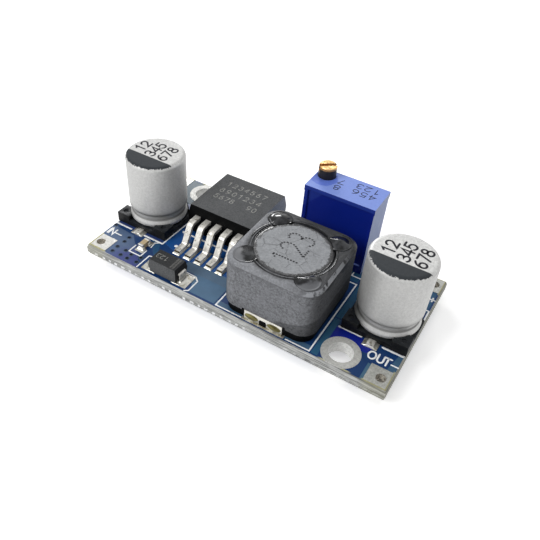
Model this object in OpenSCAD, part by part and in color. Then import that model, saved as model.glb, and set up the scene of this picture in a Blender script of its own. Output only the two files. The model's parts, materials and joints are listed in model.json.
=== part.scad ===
// Buck converter module: a blue circuit board with a five-lead regulator, a shielded inductor,
// two can capacitors, a diode, a ceramic capacitor, a feedback resistor and a multiturn trimmer.
// The origin is the centre of the board's underside, midway between the two mounting holes.
// +X points to the output end, +Y to the edge with the plus pads, and +Z up.

/* [Board] */
// Length of the board
board_l = 43.2; // [42.6:0.2:44]
// Width of the board
board_w = 21; // [20.8:0.1:21.6]
// Thickness of the board
board_t = 1.6; // [1.2:0.2:2]
// Bore of a plated mounting hole
mount_hole_d = 3; // [2.8:0.1:3.2]
// Distance from the board's centre to a mounting hole, along the length
mount_hole_x = 15.1; // [14.8:0.1:15.2]
// Distance from the board's centre to a mounting hole, across the width
mount_hole_y = 8.15; // [8:0.05:8.2]
// Bore of a plated wire hole
wire_hole_d = 1.2; // [1:0.1:1.3]
// Side of a square wire pad
wire_pad = 2.7; // [2.6:0.1:3]

/* [Capacitors] */
// Diameter of a capacitor can
can_d = 8; // [7.8:0.1:8.1]
// Height of a can's top above the board
can_top = 10.5; // [9:0.5:12]
// Side of a capacitor's plastic base
cap_base = 8.2; // [8.1:0.1:8.3]

/* [Regulator] */
// Width of the regulator's moulded body
reg_w = 10.1; // [9.8:0.1:10.4]
// Depth of the regulator's moulded body
reg_l = 9.5; // [9:0.1:9.6]
// Height of the regulator above the board
reg_h = 4.5; // [4.3:0.1:4.7]
// Distance between neighbouring leads
lead_pitch = 1.7; // [1.6:0.05:1.75]
// Width of one lead
lead_w = 0.86; // [0.7:0.02:0.9]

/* [Inductor] */
// Width and depth of the inductor's shield
ind_w = 12.2; // [11.8:0.1:12.3]
// Height of the inductor above the board
ind_h = 8; // [6:0.5:8.5]
// Diameter of the drum core's flanges
drum_d = 9.6; // [9.2:0.1:9.7]

/* [Trimmer] */
// Width of the trimmer's housing
trim_w = 9.53; // [9.4:0.01:9.6]
// Depth of the trimmer's housing
trim_l = 4.83; // [4.8:0.01:5]
// Height of the trimmer's housing above the board
trim_h = 10.38; // [10.2:0.02:10.6]
// Diameter of the adjusting screw's head
screw_d = 2.3; // [2.2:0.02:2.32]
// Teeth on the gear rotor
rotor_teeth = 30; // [30:1:31]
// Lead of the worm thread, which is the pitch of the rotor's teeth
worm_lead = 0.6; // [0.58:0.01:0.6]

/* [Hidden] */
$fn = 96;
eps = 0.01;

// Colours of the finishes
mask_blue = [0.06, 0.22, 0.55];
tin = [0.82, 0.82, 0.80];
black_plastic = [0.07, 0.07, 0.08];
grey_plastic = [0.27, 0.28, 0.29];
can_silver = [0.80, 0.81, 0.80];
ferrite = [0.45, 0.46, 0.47];
copper = [0.72, 0.42, 0.22];
brass = [0.80, 0.62, 0.30];
trim_blue = [0.10, 0.22, 0.62];
alumina = [0.93, 0.92, 0.88];

// Places on the board, from its centre
wire_x = 20.35;
wire_y = 9;
in_cap_at = [-17.45, 0.05];
out_cap_at = [17.45, -0.5];
reg_at = [-7.1, 4.55];
diode_at = [-9.15, -8.75];
ceramic_at = [-14.95, -6.45];
feedback_at = [8.4, 3.75];
ind_at = [5.69, -3.85];
trim_at = [6.85, 7.62];
via_at = [
    [-21.15, -5.1], [-17.8, -6.2], [-17.8, -7.2], [-17.9, -8.5], [-17.85, -9.55], [-16.45, -8.5],
    [-16.45, -9.55], [-15.3, -9.6], [-13.8, -9.5], [-15.3, -8.75], [-13.85, -8.5]
];

// Board, plating and solder lands
score_run = 0.18;
score_top = 0.42;
score_bottom = 0.36;
plating = 0.05;
land_t = 0.05;
ring_d = 4.7;
pad_margin = 0.04;
trim_pin_hole_d = 0.9;
trim_pad_d = 1.6;
via_outer_d = 0.66;
via_inner_d = 0.3;
via_h = 0.04;

// Moves what is drawn on the board's top surface to its place
module on_board(at) translate([at.x, at.y, board_t]) children();

// A box centred in X and Y that stands on its own base
module block(size) translate([-size.x / 2, -size.y / 2, 0]) cube(size);

// Both mounting holes, which lie on a diagonal through the board's centre
module at_mount_holes() {
    for (side = [-1, 1]) translate([side * mount_hole_x, -side * mount_hole_y, 0]) children();
}

// Places of the trimmer's three pins
module at_trim_pins() {
    for (i = [-1:1]) translate([trim_at.x + i * pin_pitch, trim_at.y + pin_y, 0]) children();
}

// Section of the board between its two scored edges
module scored_section(width) {
    half = width / 2;
    polygon([
        [-half + score_run, 0], [half - score_run, 0], [half, score_bottom], [half, board_t - score_top],
        [half - score_run, board_t], [-half + score_run, board_t], [-half, board_t - score_top],
        [-half, score_bottom]
    ]);
}

module circuit_board() {
    color(mask_blue) difference() {
        intersection() {
            rotate([90, 0, 0]) linear_extrude(board_w + 2, center = true) scored_section(board_l);
            rotate([90, 0, 90]) linear_extrude(board_l + 2, center = true) scored_section(board_w);
        }
        at_mount_holes() through_hole(mount_hole_d + 2 * plating);
        for (x = [-wire_x, wire_x]) for (y = [-wire_y, wire_y]) {
            translate([x, y, 0]) through_hole(wire_hole_d + 2 * plating);
        }
        at_trim_pins() through_hole(trim_pin_hole_d + 2 * plating);
    }
}

module through_hole(d) translate([0, 0, -1]) cylinder(h = board_t + 2, d = d);

// Plated barrel with a round land on each face of the board
module plated_ring(bore, outer) {
    rotate_extrude() polygon([
        [bore / 2, -land_t], [outer / 2, -land_t], [outer / 2, 0], [bore / 2 + plating, 0],
        [bore / 2 + plating, board_t], [outer / 2, board_t], [outer / 2, board_t + land_t],
        [bore / 2, board_t + land_t]
    ]);
}

module mounting_hole_rings() {
    color(tin) intersection() {
        at_mount_holes() plated_ring(mount_hole_d, ring_d);
        translate([0, 0, -1]) block([board_l - 2 * score_run, board_w - 2 * score_run, board_t + 2]);
    }
}

// Square pad on both faces, with a plated hole for a wire
module wire_pad(side_x, side_y) {
    edge = [board_l / 2 - score_run - pad_margin, board_w / 2 - score_run - pad_margin];
    hole = [side_x * wire_x, side_y * wire_y, 0];
    color(tin) difference() {
        union() {
            for (z = [-land_t, board_t]) {
                translate([side_x * (edge.x - wire_pad / 2), side_y * (edge.y - wire_pad / 2), z]) {
                    block([wire_pad, wire_pad, land_t]);
                }
            }
            translate(hole) cylinder(h = board_t, d = wire_hole_d + 2 * plating);
        }
        translate(hole) through_hole(wire_hole_d);
    }
}

module in_plus_pad() wire_pad(-1, 1);
module in_minus_pad() wire_pad(-1, -1);
module out_plus_pad() wire_pad(1, 1);
module out_minus_pad() wire_pad(1, -1);

module via_collars() {
    bore = via_inner_d / 2;
    rim = via_outer_d / 2;
    color(mask_blue) for (at = via_at) on_board(at) rotate_extrude($fn = 24) {
        polygon([[bore, 0], [rim, 0], [rim - via_h, via_h], [bore, via_h]]);
    }
}

// One flat solder land on the board's top
module land(at, size) color(tin) on_board(at) block([size.x, size.y, land_t]);

// Two like lands, each at the given distance from the middle along Y
module land_pair(at, size, reach) {
    for (side = [-1, 1]) land([at.x, at.y + side * reach], size);
}

// Can capacitors. The negative lead is at the front, and the base's back corners are cut.
cap_plate_h = 0.8;
cap_post_h = 1.5;
cap_post_gap = 4.2;
cap_corner_cut = 2.4;
cap_seat_gap = 0.05;
can_foot = 1.1;
can_top_r = 0.55;
groove_z = 2.15;
groove_top = 2.5;
groove_slope = 0.6;
groove_depth = 0.32;
cap_lead_w = 0.9;
cap_lead_t = 0.3;
cap_lead_start = 1;
cap_lead_reach = 1;
cap_land = [1.9, 3.6];
cap_land_reach = 3.4;
dimple_d = 0.7;
dimple_at = 3.3;
dimple_depth = 0.15;

// Can turned about its axis: rolled foot, crimp groove, straight wall and rounded top edge
module can(at) {
    r = can_d / 2;
    groove_r = r - groove_depth;
    roll = can_foot / 2;
    foot_mid = [r - roll, cap_plate_h + roll];
    top_mid = [r, can_top] - can_top_r * [1, 1];
    color(can_silver) on_board(at) rotate_extrude() polygon(concat(
        [[0, cap_plate_h]],
        [for (a = [-90:15:30]) foot_mid + roll * [cos(a), sin(a)]],
        [[groove_r, groove_z], [groove_r, groove_top], [r, groove_top + groove_slope]],
        [for (a = [0:15:90]) top_mid + can_top_r * [cos(a), sin(a)]],
        [[0, can_top]]
    ));
}

// Outline of the base, with its two back corners cut
module base_outline() {
    half = cap_base / 2;
    cut = half - cap_corner_cut;
    polygon([[-half, -half], [half, -half], [half, cut], [cut, half], [-cut, half], [-half, cut]]);
}

// Base: a plate with a lead slot across its underside, and four corner posts that hug the can
module capacitor_base(at) {
    color(black_plastic) on_board(at) difference() {
        translate([0, 0, land_t]) linear_extrude(cap_post_h - land_t) base_outline();
        translate([0, 0, cap_plate_h]) cylinder(h = cap_post_h, d = can_d + 2 * cap_seat_gap);
        for (turn = [0:90:270]) rotate(turn) {
            translate([0, cap_base / 2, cap_plate_h]) block([cap_post_gap, can_d / 2, cap_post_h]);
        }
        block([cap_lead_w, cap_base + 2, land_t + cap_lead_t]);
        for (side = [-1, 1]) translate([side * dimple_at, -dimple_at, cap_post_h - dimple_depth]) {
            cylinder(h = 1, d = dimple_d);
        }
    }
}

// Flat lead: it starts under the can and runs outward in the base's slot, over the land
module capacitor_lead(at, side) {
    length = cap_base / 2 + cap_lead_reach - cap_lead_start;
    color(tin) on_board(at) translate([0, side * (cap_lead_start + length / 2), land_t]) {
        block([cap_lead_w, length, cap_lead_t]);
    }
}

module input_capacitor_lands() land_pair(in_cap_at, cap_land, cap_land_reach);
module output_capacitor_lands() land_pair(out_cap_at, cap_land, cap_land_reach);
module input_capacitor_can() can(in_cap_at);
module input_capacitor_base() capacitor_base(in_cap_at);
module input_capacitor_front_lead() capacitor_lead(in_cap_at, -1);
module input_capacitor_back_lead() capacitor_lead(in_cap_at, 1);
module output_capacitor_can() can(out_cap_at);
module output_capacitor_base() capacitor_base(out_cap_at);
module output_capacitor_front_lead() capacitor_lead(out_cap_at, -1);
module output_capacitor_back_lead() capacitor_lead(out_cap_at, 1);

// Strips of metal bent in a plane: each inner corner of a path becomes an arc
function unit(v) = v / norm(v);
function turn_left(v) = [-v.y, v.x];
function corner_arc(p, q, s, r, n) =
    let (
        u = unit(p - q),
        v = unit(s - q),
        half = acos(u * v) / 2,
        mid = q + unit(u + v) * r / sin(half),
        first = q + u * r / tan(half) - mid,
        sweep = (180 - 2 * half) * sign(u.y * v.x - u.x * v.y)
    )
    [for (i = [0:n]) let (a = sweep * i / n) mid + first * cos(a) + turn_left(first) * sin(a)];
function rounded_path(p, r, n = 5) = concat(
    [p[0]],
    [for (i = [1:len(p) - 2]) each corner_arc(p[i - 1], p[i], p[i + 1], r, n)],
    [p[len(p) - 1]]
);
function side_point(p, i, d) =
    let (
        before = unit(i == 0 ? p[1] - p[0] : p[i] - p[i - 1]),
        after = unit(i == len(p) - 1 ? p[i] - p[i - 1] : p[i + 1] - p[i]),
        across = unit(turn_left(before + after))
    )
    p[i] + across * d / (across * turn_left(before));
function strip_outline(p, t) = concat(
    [for (i = [0:len(p) - 1]) side_point(p, i, t / 2)],
    [for (i = [len(p) - 1:-1:0]) side_point(p, i, -t / 2)]
);

// Strip with its path in the YZ plane and its width along X
module strip_yz(path, t, width) {
    rotate([90, 0, 90]) linear_extrude(width, center = true) polygon(strip_outline(path, t));
}

// Strip with its path in the XZ plane and its width along Y
module strip_xz(path, t, width) {
    rotate([90, 0, 0]) linear_extrude(width, center = true) polygon(strip_outline(path, t));
}

// Regulator: moulded body on a copper tab, with five leads bent down to the board
reg_parting = 2.95;
reg_draft = 0.28;
reg_floor = 0.1;
lead_t = 0.48;
lead_z = 2.95;
lead_root = 1.2;
lead_shoulder = -1.85;
lead_heel = -3.35;
lead_toe = -5.15;
lead_bend_r = 0.62;
tab_w = 8.6;
tab_t = 1.27;
tab_back = 10.15;
tab_front = 2.6;
tab_neck_w = 7.4;
tab_neck_l = 0.45;
riser_run = 0.6;
riser_bend_r = 0.3;
reg_land_w = 1.15;
reg_land = [-5.42, -2.5];
tab_land = [10.4, 9.2];
tab_land_back = 10.3;

function reg_lead_x(i) = reg_at.x + (i - 3) * lead_pitch;

// Side profile of the moulded body, front to back, with the mould's draft on each half
module regulator_profile() {
    front = reg_at.y - reg_l / 2;
    back = reg_at.y + reg_l / 2;
    polygon([
        [front + reg_draft / 2, reg_floor], [back - 0.35, reg_floor], [back - 0.35, tab_t + 0.2],
        [back, tab_t + 0.5], [back - reg_draft, reg_h], [front + reg_draft, reg_h], [front, reg_parting]
    ]);
}

// End profile of the moulded body, left to right
module regulator_end() {
    half = reg_w / 2;
    polygon([
        [-half + reg_draft, reg_floor], [half - reg_draft, reg_floor], [half, reg_parting],
        [half - reg_draft, reg_h], [-half + reg_draft, reg_h], [-half, reg_parting]
    ]);
}

module regulator_body() {
    color(grey_plastic) difference() {
        on_board([0, 0]) intersection() {
            translate([reg_at.x, 0, 0]) rotate([90, 0, 90]) {
                linear_extrude(reg_w + 1, center = true) regulator_profile();
            }
            translate([reg_at.x, reg_at.y, 0]) rotate([90, 0, 0]) {
                linear_extrude(reg_l + 1, center = true) regulator_end();
            }
        }
        heat_tab_solid();
        for (i = [1, 2, 4, 5]) regulator_lead_solid(i);
    }
}

module regulator_lead_solid(i) {
    foot_z = land_t + lead_t / 2;
    path = [[lead_root, lead_z], [lead_shoulder, lead_z], [lead_heel, foot_z], [lead_toe, foot_z]];
    on_board([reg_lead_x(i), 0]) strip_yz(rounded_path(path, lead_bend_r), lead_t, lead_w);
}

// Copper tab under the body, with the middle lead rising from it as one piece
module heat_tab_solid() {
    tab_z = tab_t + land_t - lead_t / 2;
    riser = [
        [lead_root, lead_z], [tab_front - riser_run, lead_z], [tab_front + riser_run, tab_z],
        [tab_front + 3 * riser_run, tab_z]
    ];
    on_board([reg_at.x, 0]) {
        translate([0, (tab_front + tab_back) / 2, land_t]) difference() {
            block([tab_w, tab_back - tab_front, tab_t]);
            for (side = [-1, 1]) translate([side * tab_w / 2, (tab_back - tab_front) / 2, -1]) {
                block([tab_w - tab_neck_w, 2 * tab_neck_l, tab_t + 2]);
            }
        }
        strip_yz(rounded_path(riser, riser_bend_r), lead_t, lead_w);
    }
    regulator_lead_solid(3);
}

module regulator_heat_tab() color(tin) heat_tab_solid();
module regulator_lead_1() color(tin) regulator_lead_solid(1);
module regulator_lead_2() color(tin) regulator_lead_solid(2);
module regulator_lead_4() color(tin) regulator_lead_solid(4);
module regulator_lead_5() color(tin) regulator_lead_solid(5);

module regulator_lands() {
    middle = (reg_land[0] + reg_land[1]) / 2;
    for (i = [1:5]) land([reg_lead_x(i), middle], [reg_land_w, reg_land[1] - reg_land[0]]);
    land([reg_at.x, tab_land_back - tab_land.y / 2], tab_land);
}

// Diode: moulded body with two leads that fold down its ends and under it
diode_size = [4.3, 2.6, 2.2];
diode_floor = 0.12;
diode_draft = 0.16;
diode_parting = 1.25;
diode_lead_w = 1.4;
diode_lead_t = 0.2;
diode_lead_gap = 0.12;
diode_lead_end = 1.15;
diode_bend_r = 0.22;
diode_land = [2.2, 2.4];
diode_land_reach = 2.4;

// One of the body's two profiles, across the given width
module diode_profile(width) {
    half = width / 2;
    polygon([
        [-half + diode_draft, diode_floor], [half - diode_draft, diode_floor], [half, diode_parting],
        [half - diode_draft, diode_size.z], [-half + diode_draft, diode_size.z], [-half, diode_parting]
    ]);
}

module diode_lead_solid(side) {
    out = diode_size.x / 2 + diode_lead_t / 2 + diode_lead_gap;
    low = land_t + diode_lead_t / 2;
    path = [
        [side * diode_lead_end, diode_parting], [side * out, diode_parting],
        [side * out, low], [side * diode_lead_end, low]
    ];
    on_board(diode_at) strip_xz(rounded_path(path, diode_bend_r), diode_lead_t, diode_lead_w);
}

module diode_body() {
    color(grey_plastic) difference() {
        on_board(diode_at) intersection() {
            rotate([90, 0, 0]) linear_extrude(diode_size.x, center = true) diode_profile(diode_size.x);
            rotate([90, 0, 90]) linear_extrude(diode_size.x, center = true) diode_profile(diode_size.y);
        }
        diode_lead_solid(-1);
        diode_lead_solid(1);
        for (side = [-1, 1]) on_board([diode_at.x + side * diode_size.x / 2, diode_at.y]) {
            block([diode_size.x - 2 * diode_lead_end, diode_lead_w, land_t + diode_lead_t]);
        }
    }
}

module diode_anode_lead() color(tin) diode_lead_solid(-1);
module diode_cathode_lead() color(tin) diode_lead_solid(1);
module diode_lands() {
    for (side = [-1, 1]) land([diode_at.x + side * diode_land_reach, diode_at.y], diode_land);
}

// Small chip parts: a body between two metal end caps, which wrap it on five sides
chip = [0.8, 1.6, 0.8];
chip_end = 0.3;
chip_skin = 0.03;

module chip_body(at, size) {
    inner = size - [2 * chip_skin, 2 * chip_end, 2 * chip_skin];
    on_board(at) translate([0, 0, land_t + chip_skin]) block(inner);
}

module chip_ends(at, size) {
    reach = (size.y - chip_end) / 2;
    color(tin) for (side = [-1, 1]) on_board([at.x, at.y + side * reach]) {
        translate([0, 0, land_t]) block([size.x, chip_end, size.z]);
    }
}

module ceramic_capacitor_body() color([0.72, 0.60, 0.42]) chip_body(ceramic_at, chip);
module ceramic_capacitor_ends() chip_ends(ceramic_at, chip);
module ceramic_capacitor_lands() land_pair(ceramic_at, [1.3, 0.95], 0.8);
resistor_size = [0.8, 1.6, 0.45];
module feedback_resistor_body() color(black_plastic) chip_body(feedback_at, resistor_size);
module feedback_resistor_ends() chip_ends(feedback_at, resistor_size);
module feedback_resistor_lands() land_pair(feedback_at, [1.1, 0.9], 0.75);

// Inductor: drum core and winding inside a square shield, on a plastic base with two terminals
ind_shield_z = 1.35;
ind_base_inset = 0.3;
ind_corner_r = 2.1;
ind_top_bevel = 0.35;
ind_gap = 0.15;
ind_pocket_d = 2.5;
ind_pocket_reach = 5.6;
drum_core_d = 5;
drum_flange_t = 1.1;
drum_z = 1.5;
drum_top = 7.92;
term_w = 5.1;
term_h = 1.5;
term_t = 0.18;
term_depth = 2.6;
term_slot = [1.75, 0.62];
term_slot_x = 1.43;
term_window = [0.8, 0.5];
ind_land = [5.8, 3];
ind_notch = [5.3, 0.46, 1.6];
glue_top = 7.75;

// Square with rounded corners
module rounded_square(width, r) {
    for (turn = [0, 90]) rotate(turn) square([width, width - 2 * r], center = true);
    for (x = [-1, 1]) for (y = [-1, 1]) translate([x, y] * (width / 2 - r)) circle(r = r, $fn = 48);
}

// Places of the four pockets, toward the shield's corners
module at_pockets() {
    for (turn = [45:90:315]) rotate(turn) translate([ind_pocket_reach, 0]) children();
}

// Round opening with its four pockets
module shield_opening(d) {
    circle(d = d);
    at_pockets() circle(d = ind_pocket_d, $fn = 32);
}

// Shield: a bevelled square ring with a notch for the terminal at the front and the back
module inductor_shield() {
    straight = ind_h - ind_shield_z - ind_top_bevel;
    top_w = ind_w - 2 * ind_top_bevel;
    color(ferrite) on_board(ind_at) difference() {
        translate([0, 0, ind_shield_z]) {
            linear_extrude(straight) rounded_square(ind_w, ind_corner_r);
            translate([0, 0, straight]) {
                linear_extrude(ind_top_bevel, scale = top_w / ind_w) rounded_square(ind_w, ind_corner_r);
            }
        }
        linear_extrude(ind_h + 1) shield_opening(drum_d + 2 * ind_gap);
        for (side = [-1, 1]) translate([0, side * ind_w / 2, 0]) block(ind_notch);
    }
}

// Drum turned about its axis, with a rounded upper rim
module inductor_core() {
    r = drum_d / 2;
    rim = 0.3;
    color(ferrite) on_board(ind_at) rotate_extrude() polygon(concat(
        [[0, drum_z], [r, drum_z], [r, drum_z + drum_flange_t], [drum_core_d / 2, drum_z + drum_flange_t],
         [drum_core_d / 2, drum_top - drum_flange_t], [r, drum_top - drum_flange_t]],
        [for (a = [0:18:90]) [r - rim + rim * cos(a), drum_top - rim + rim * sin(a)]],
        [[0, drum_top]]
    ));
}

module inductor_winding() {
    height = drum_top - drum_z - 2 * drum_flange_t;
    color(copper) on_board(ind_at) translate([0, 0, drum_z + drum_flange_t]) difference() {
        cylinder(h = height, d = drum_d - 0.5);
        translate([0, 0, -1]) cylinder(h = height + 2, d = drum_core_d);
    }
}

// Base: a plate that carries the shield and the drum, set in from the shield's faces and cut away
// for the terminals
module inductor_base() {
    color(black_plastic) on_board(ind_at) difference() {
        union() {
            translate([0, 0, land_t]) linear_extrude(ind_shield_z - land_t) {
                rounded_square(ind_w - 2 * ind_base_inset, ind_corner_r - ind_base_inset);
            }
            translate([0, 0, ind_shield_z]) cylinder(h = drum_z - ind_shield_z, d = drum_d);
        }
        for (side = [-1, 1]) translate([0, side * (ind_w - term_depth) / 2, 0]) {
            block([term_w, term_depth, land_t + term_t]);
        }
        for (side = [-1, 1]) translate([0, side * ind_w / 2, 0]) {
            block([ind_notch.x, 2 * ind_notch.y, drum_z]);
        }
    }
}

// Two round-ended slots and a window between them
module terminal_openings() {
    straight = term_slot.x - term_slot.y;
    for (x = [-term_slot_x, term_slot_x]) translate([x, 0]) {
        square([straight, term_slot.y], center = true);
        for (end = [-1, 1]) translate([end * straight / 2, 0]) circle(d = term_slot.y, $fn = 32);
    }
    square(term_window, center = true);
}

// Terminal: a strip under the base that turns up the shield's face, where it is pierced
module terminal(side) {
    color(tin) on_board(ind_at) scale([1, side, 1]) difference() {
        union() {
            translate([0, (ind_w - term_depth) / 2, land_t]) block([term_w, term_depth, term_t]);
            translate([0, (ind_w - term_t) / 2, land_t]) block([term_w, term_t, term_h - land_t]);
        }
        translate([0, ind_w / 2, term_h / 2]) rotate([90, 0, 0]) {
            linear_extrude(4 * term_t, center = true) terminal_openings();
        }
    }
}

module inductor_front_terminal() terminal(-1);
module inductor_back_terminal() terminal(1);
module inductor_lands() land_pair(ind_at, ind_land, ind_w / 2 - 1.3);

// Adhesive that fills the four pockets beside the drum
module inductor_glue() {
    color([0.12, 0.13, 0.14]) on_board(ind_at) translate([0, 0, ind_shield_z]) {
        linear_extrude(glue_top - ind_shield_z) difference() {
            at_pockets() circle(d = ind_pocket_d - 2 * eps, $fn = 32);
            circle(d = drum_d + 2 * ind_gap);
        }
    }
}

// Trimmer housing: an open-bottomed shell with a recessed front panel and four feet
trim_wall = 0.35;
trim_top_t = 0.9;
trim_front_t = 0.95;
trim_foot_h = 0.38;
trim_foot = 1.1;
panel_depth = 0.3;
panel_rim = 0.55;
panel_side = 0.42;
cap_lip = 0.06;
cap_lip_h = 0.8;
screw_inset = 1.35;
screw_gap = 0.05;
screw_boss_z = 8.75;
screw_boss_d = 3.2;
screw_foot_z = 1.75;

screw_at = [trim_at.x - trim_w / 2 + screw_inset, trim_at.y + trim_l / 2 - screw_inset];

module trimmer_housing() {
    inner = [trim_w - 2 * trim_wall, trim_l - trim_wall - trim_front_t, trim_h - trim_top_t];
    case_w = trim_w - 2 * cap_lip;
    foot_at = [case_w - trim_foot, trim_l - trim_foot] / 2;
    color(trim_blue) difference() {
        on_board(trim_at) difference() {
            union() {
                translate([0, 0, trim_foot_h]) block([case_w, trim_l, trim_h - trim_foot_h]);
                translate([0, 0, trim_h - cap_lip_h]) block([trim_w, trim_l, cap_lip_h]);
                for (x = [-1, 1]) for (y = [-1, 1]) translate([x * foot_at.x, y * foot_at.y, 0]) {
                    block([trim_foot, trim_foot, trim_foot_h + 1]);
                }
            }
            front_panel();
            translate([0, (trim_front_t - trim_wall) / 2, -1]) block([inner.x, inner.y, inner.z + 1]);
        }
        on_board(screw_at) translate([0, 0, trim_h - 2]) cylinder(h = 3, d = screw_d + 2 * screw_gap);
        on_rotor(rotor_at.y) cylinder(h = axle_back, d = axle_d + 2 * axle_gap);
    }
    color(trim_blue) intersection() {
        on_board(screw_at) screw_supports();
        on_board(trim_at) block([trim_w - trim_wall, trim_l - trim_wall, trim_h]);
    }
}

// Recess of the front panel
module front_panel() {
    bottom = trim_foot_h + 0.8;
    translate([0, -trim_l / 2, bottom]) {
        block([trim_w - 2 * panel_side - 2 * cap_lip, 2 * panel_depth, trim_h - panel_rim - bottom]);
    }
}

// Boss round the screw's head inside the top, and the shelf that its lower end turns in
module screw_supports() {
    translate([0, 0, screw_boss_z]) difference() {
        cylinder(h = trim_h - trim_top_t - screw_boss_z + eps, d = screw_boss_d);
        translate([0, 0, -1]) cylinder(h = 3, d = screw_d + 2 * screw_gap);
    }
    translate([0, 0, screw_foot_z]) difference() {
        block([screw_boss_d, screw_boss_d, 0.8]);
        translate([0, 0, -1]) cylinder(h = 3, d = 2 * (shaft_r + screw_gap));
    }
}

// Potting that closes the bottom of the housing round the pins
potting_t = 0.9;
module trimmer_potting() {
    color([0.16, 0.22, 0.42]) difference() {
        on_board([trim_at.x, trim_at.y + (trim_front_t - trim_wall) / 2]) translate([0, 0, trim_foot_h]) {
            block([trim_w - 2 * trim_wall, trim_l - trim_wall - trim_front_t, potting_t]);
        }
        for (i = [-1:1]) trimmer_pin_solid(i);
    }
}

// Pins: straight wires that stand against the element plate's back and go down through the board
plate_t = 0.6;
pin_pitch = 2.54;
pin_d = 0.5;
pin_y = trim_front_t + plate_t + pin_d / 2 - trim_l / 2;
pin_top = 1.6;
pin_tail = 0.95;

module trimmer_pin_solid(i) {
    translate([trim_at.x + i * pin_pitch, trim_at.y + pin_y, -pin_tail]) {
        cylinder(h = board_t + pin_tail + pin_top, d = pin_d, $fn = 48);
    }
}

module trimmer_pin_1() color(tin) trimmer_pin_solid(-1);
module trimmer_pin_2() color(tin) trimmer_pin_solid(0);
module trimmer_pin_3() color(tin) trimmer_pin_solid(1);
module trimmer_pin_pads() color(tin) at_trim_pins() plated_ring(trim_pin_hole_d, trim_pad_d);

// Solder: it fills each plated hole and stands round the pin's tail as a hollow-sided cone
solder_drop = 0.7;
solder_neck = 0.1;
solder_margin = 0.06;
module trimmer_solder() {
    tail = pin_d / 2;
    bore = trim_pin_hole_d / 2;
    foot = trim_pad_d / 2 - solder_margin;
    flare = foot - tail - solder_neck;
    color(tin) at_trim_pins() rotate_extrude($fn = 48) polygon(concat(
        [[tail, -solder_drop]],
        [for (a = [0:15:90]) [foot - flare * cos(a), -land_t - (solder_drop - land_t) * (1 - sin(a))]],
        [[bore, -land_t], [bore, board_t], [tail, board_t]]
    ));
}

// Element plate: a ceramic plate at the front of the cavity, with a horseshoe track on its back
plate_y = trim_at.y - trim_l / 2 + trim_front_t;
plate_w = 8;
plate_top = 9;
track_t = 0.05;
track_inner = 1.75;
track_outer = 2.35;
track_open = 60;
collector_inner = 0.85;
collector_outer = 1.2;

// Worm and rotor: the tooth pitch equals the worm's lead, so one turn moves one tooth
worm_crest = 0.86;
worm_root = 0.52;
shaft_r = 0.46;
worm_pitch_r = 0.71;
worm_turns = 3.5;
worm_sides = 16;
worm_slices = 12;
worm_crest_share = 0.18;
worm_root_share = 0.42;
rotor_pitch_r = rotor_teeth * worm_lead / (2 * PI);
rotor_tip_r = rotor_pitch_r + 0.13;
rotor_root_r = rotor_pitch_r - 0.21;
rotor_tip_share = 0.16;
rotor_root_share = 0.44;
rotor_z = 5.4;
rotor_t = 0.9;
axle_d = 1.2;
hub_d = 2.2;
axle_gap = 0.03;
axle_end_gap = 0.06;
axle_wall = 0.15;
axle_back = trim_at.y + trim_l / 2 - axle_wall - screw_at.y;
rotor_at = [screw_at.x + worm_pitch_r + rotor_pitch_r, screw_at.y];

// Moves what is drawn about the Z axis onto the rotor's axis, which runs along Y
module on_rotor(y) {
    translate([rotor_at.x, y, board_t + rotor_z]) rotate([-90, 0, 0]) children();
}

module trimmer_element_plate() {
    color(alumina) difference() {
        on_board([rotor_at.x, plate_y + plate_t / 2]) translate([0, 0, trim_foot_h + potting_t]) {
            block([plate_w, plate_t, plate_top - trim_foot_h - potting_t]);
        }
        on_rotor(plate_y - 1) cylinder(h = plate_t + 2, d = axle_d + 2 * axle_gap);
    }
}

// Flat ring, open over the given angle at the bottom
module open_ring(inner, outer, open) {
    half = open / 2;
    turns = [for (i = [0:24]) 90 + half + (360 - open) * i / 24];
    polygon(concat(
        [for (a = turns) outer * [cos(a), sin(a)]],
        [for (i = [24:-1:0]) inner * [cos(turns[i]), sin(turns[i])]]
    ));
}

module trimmer_track() {
    color([0.20, 0.18, 0.17]) on_rotor(plate_y + plate_t) {
        linear_extrude(track_t) open_ring(track_inner, track_outer, track_open);
        difference() {
            cylinder(h = track_t, r = collector_outer);
            translate([0, 0, -1]) cylinder(h = 2, r = collector_inner);
        }
    }
}

// Screw: slotted head, O-ring neck, worm thread and lower journal, turned as one piece
screw_top = 11.95;
screw_neck = [9.15, 9.75];
screw_collar_z = 8.9;
screw_end_z = 1.85;
screw_neck_d = 1.36;
slot_w = 0.55;
slot_depth = 0.72;
slot_angle = 38;
slot_chamfer = 0.08;

// Section across the worm: the radius rises from root to crest and falls again in one turn
function worm_radius(share) =
    let (
        off = abs(share - 0.5) * 2,
        fall = (off - worm_crest_share) / (worm_root_share - worm_crest_share)
    )
    worm_crest - (worm_crest - worm_root) * max(0, min(1, fall));

module worm_section() {
    n = worm_sides;
    polygon([for (i = [0:n - 1]) worm_radius(i / n) * [cos(360 * i / n), sin(360 * i / n)]]);
}

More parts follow.
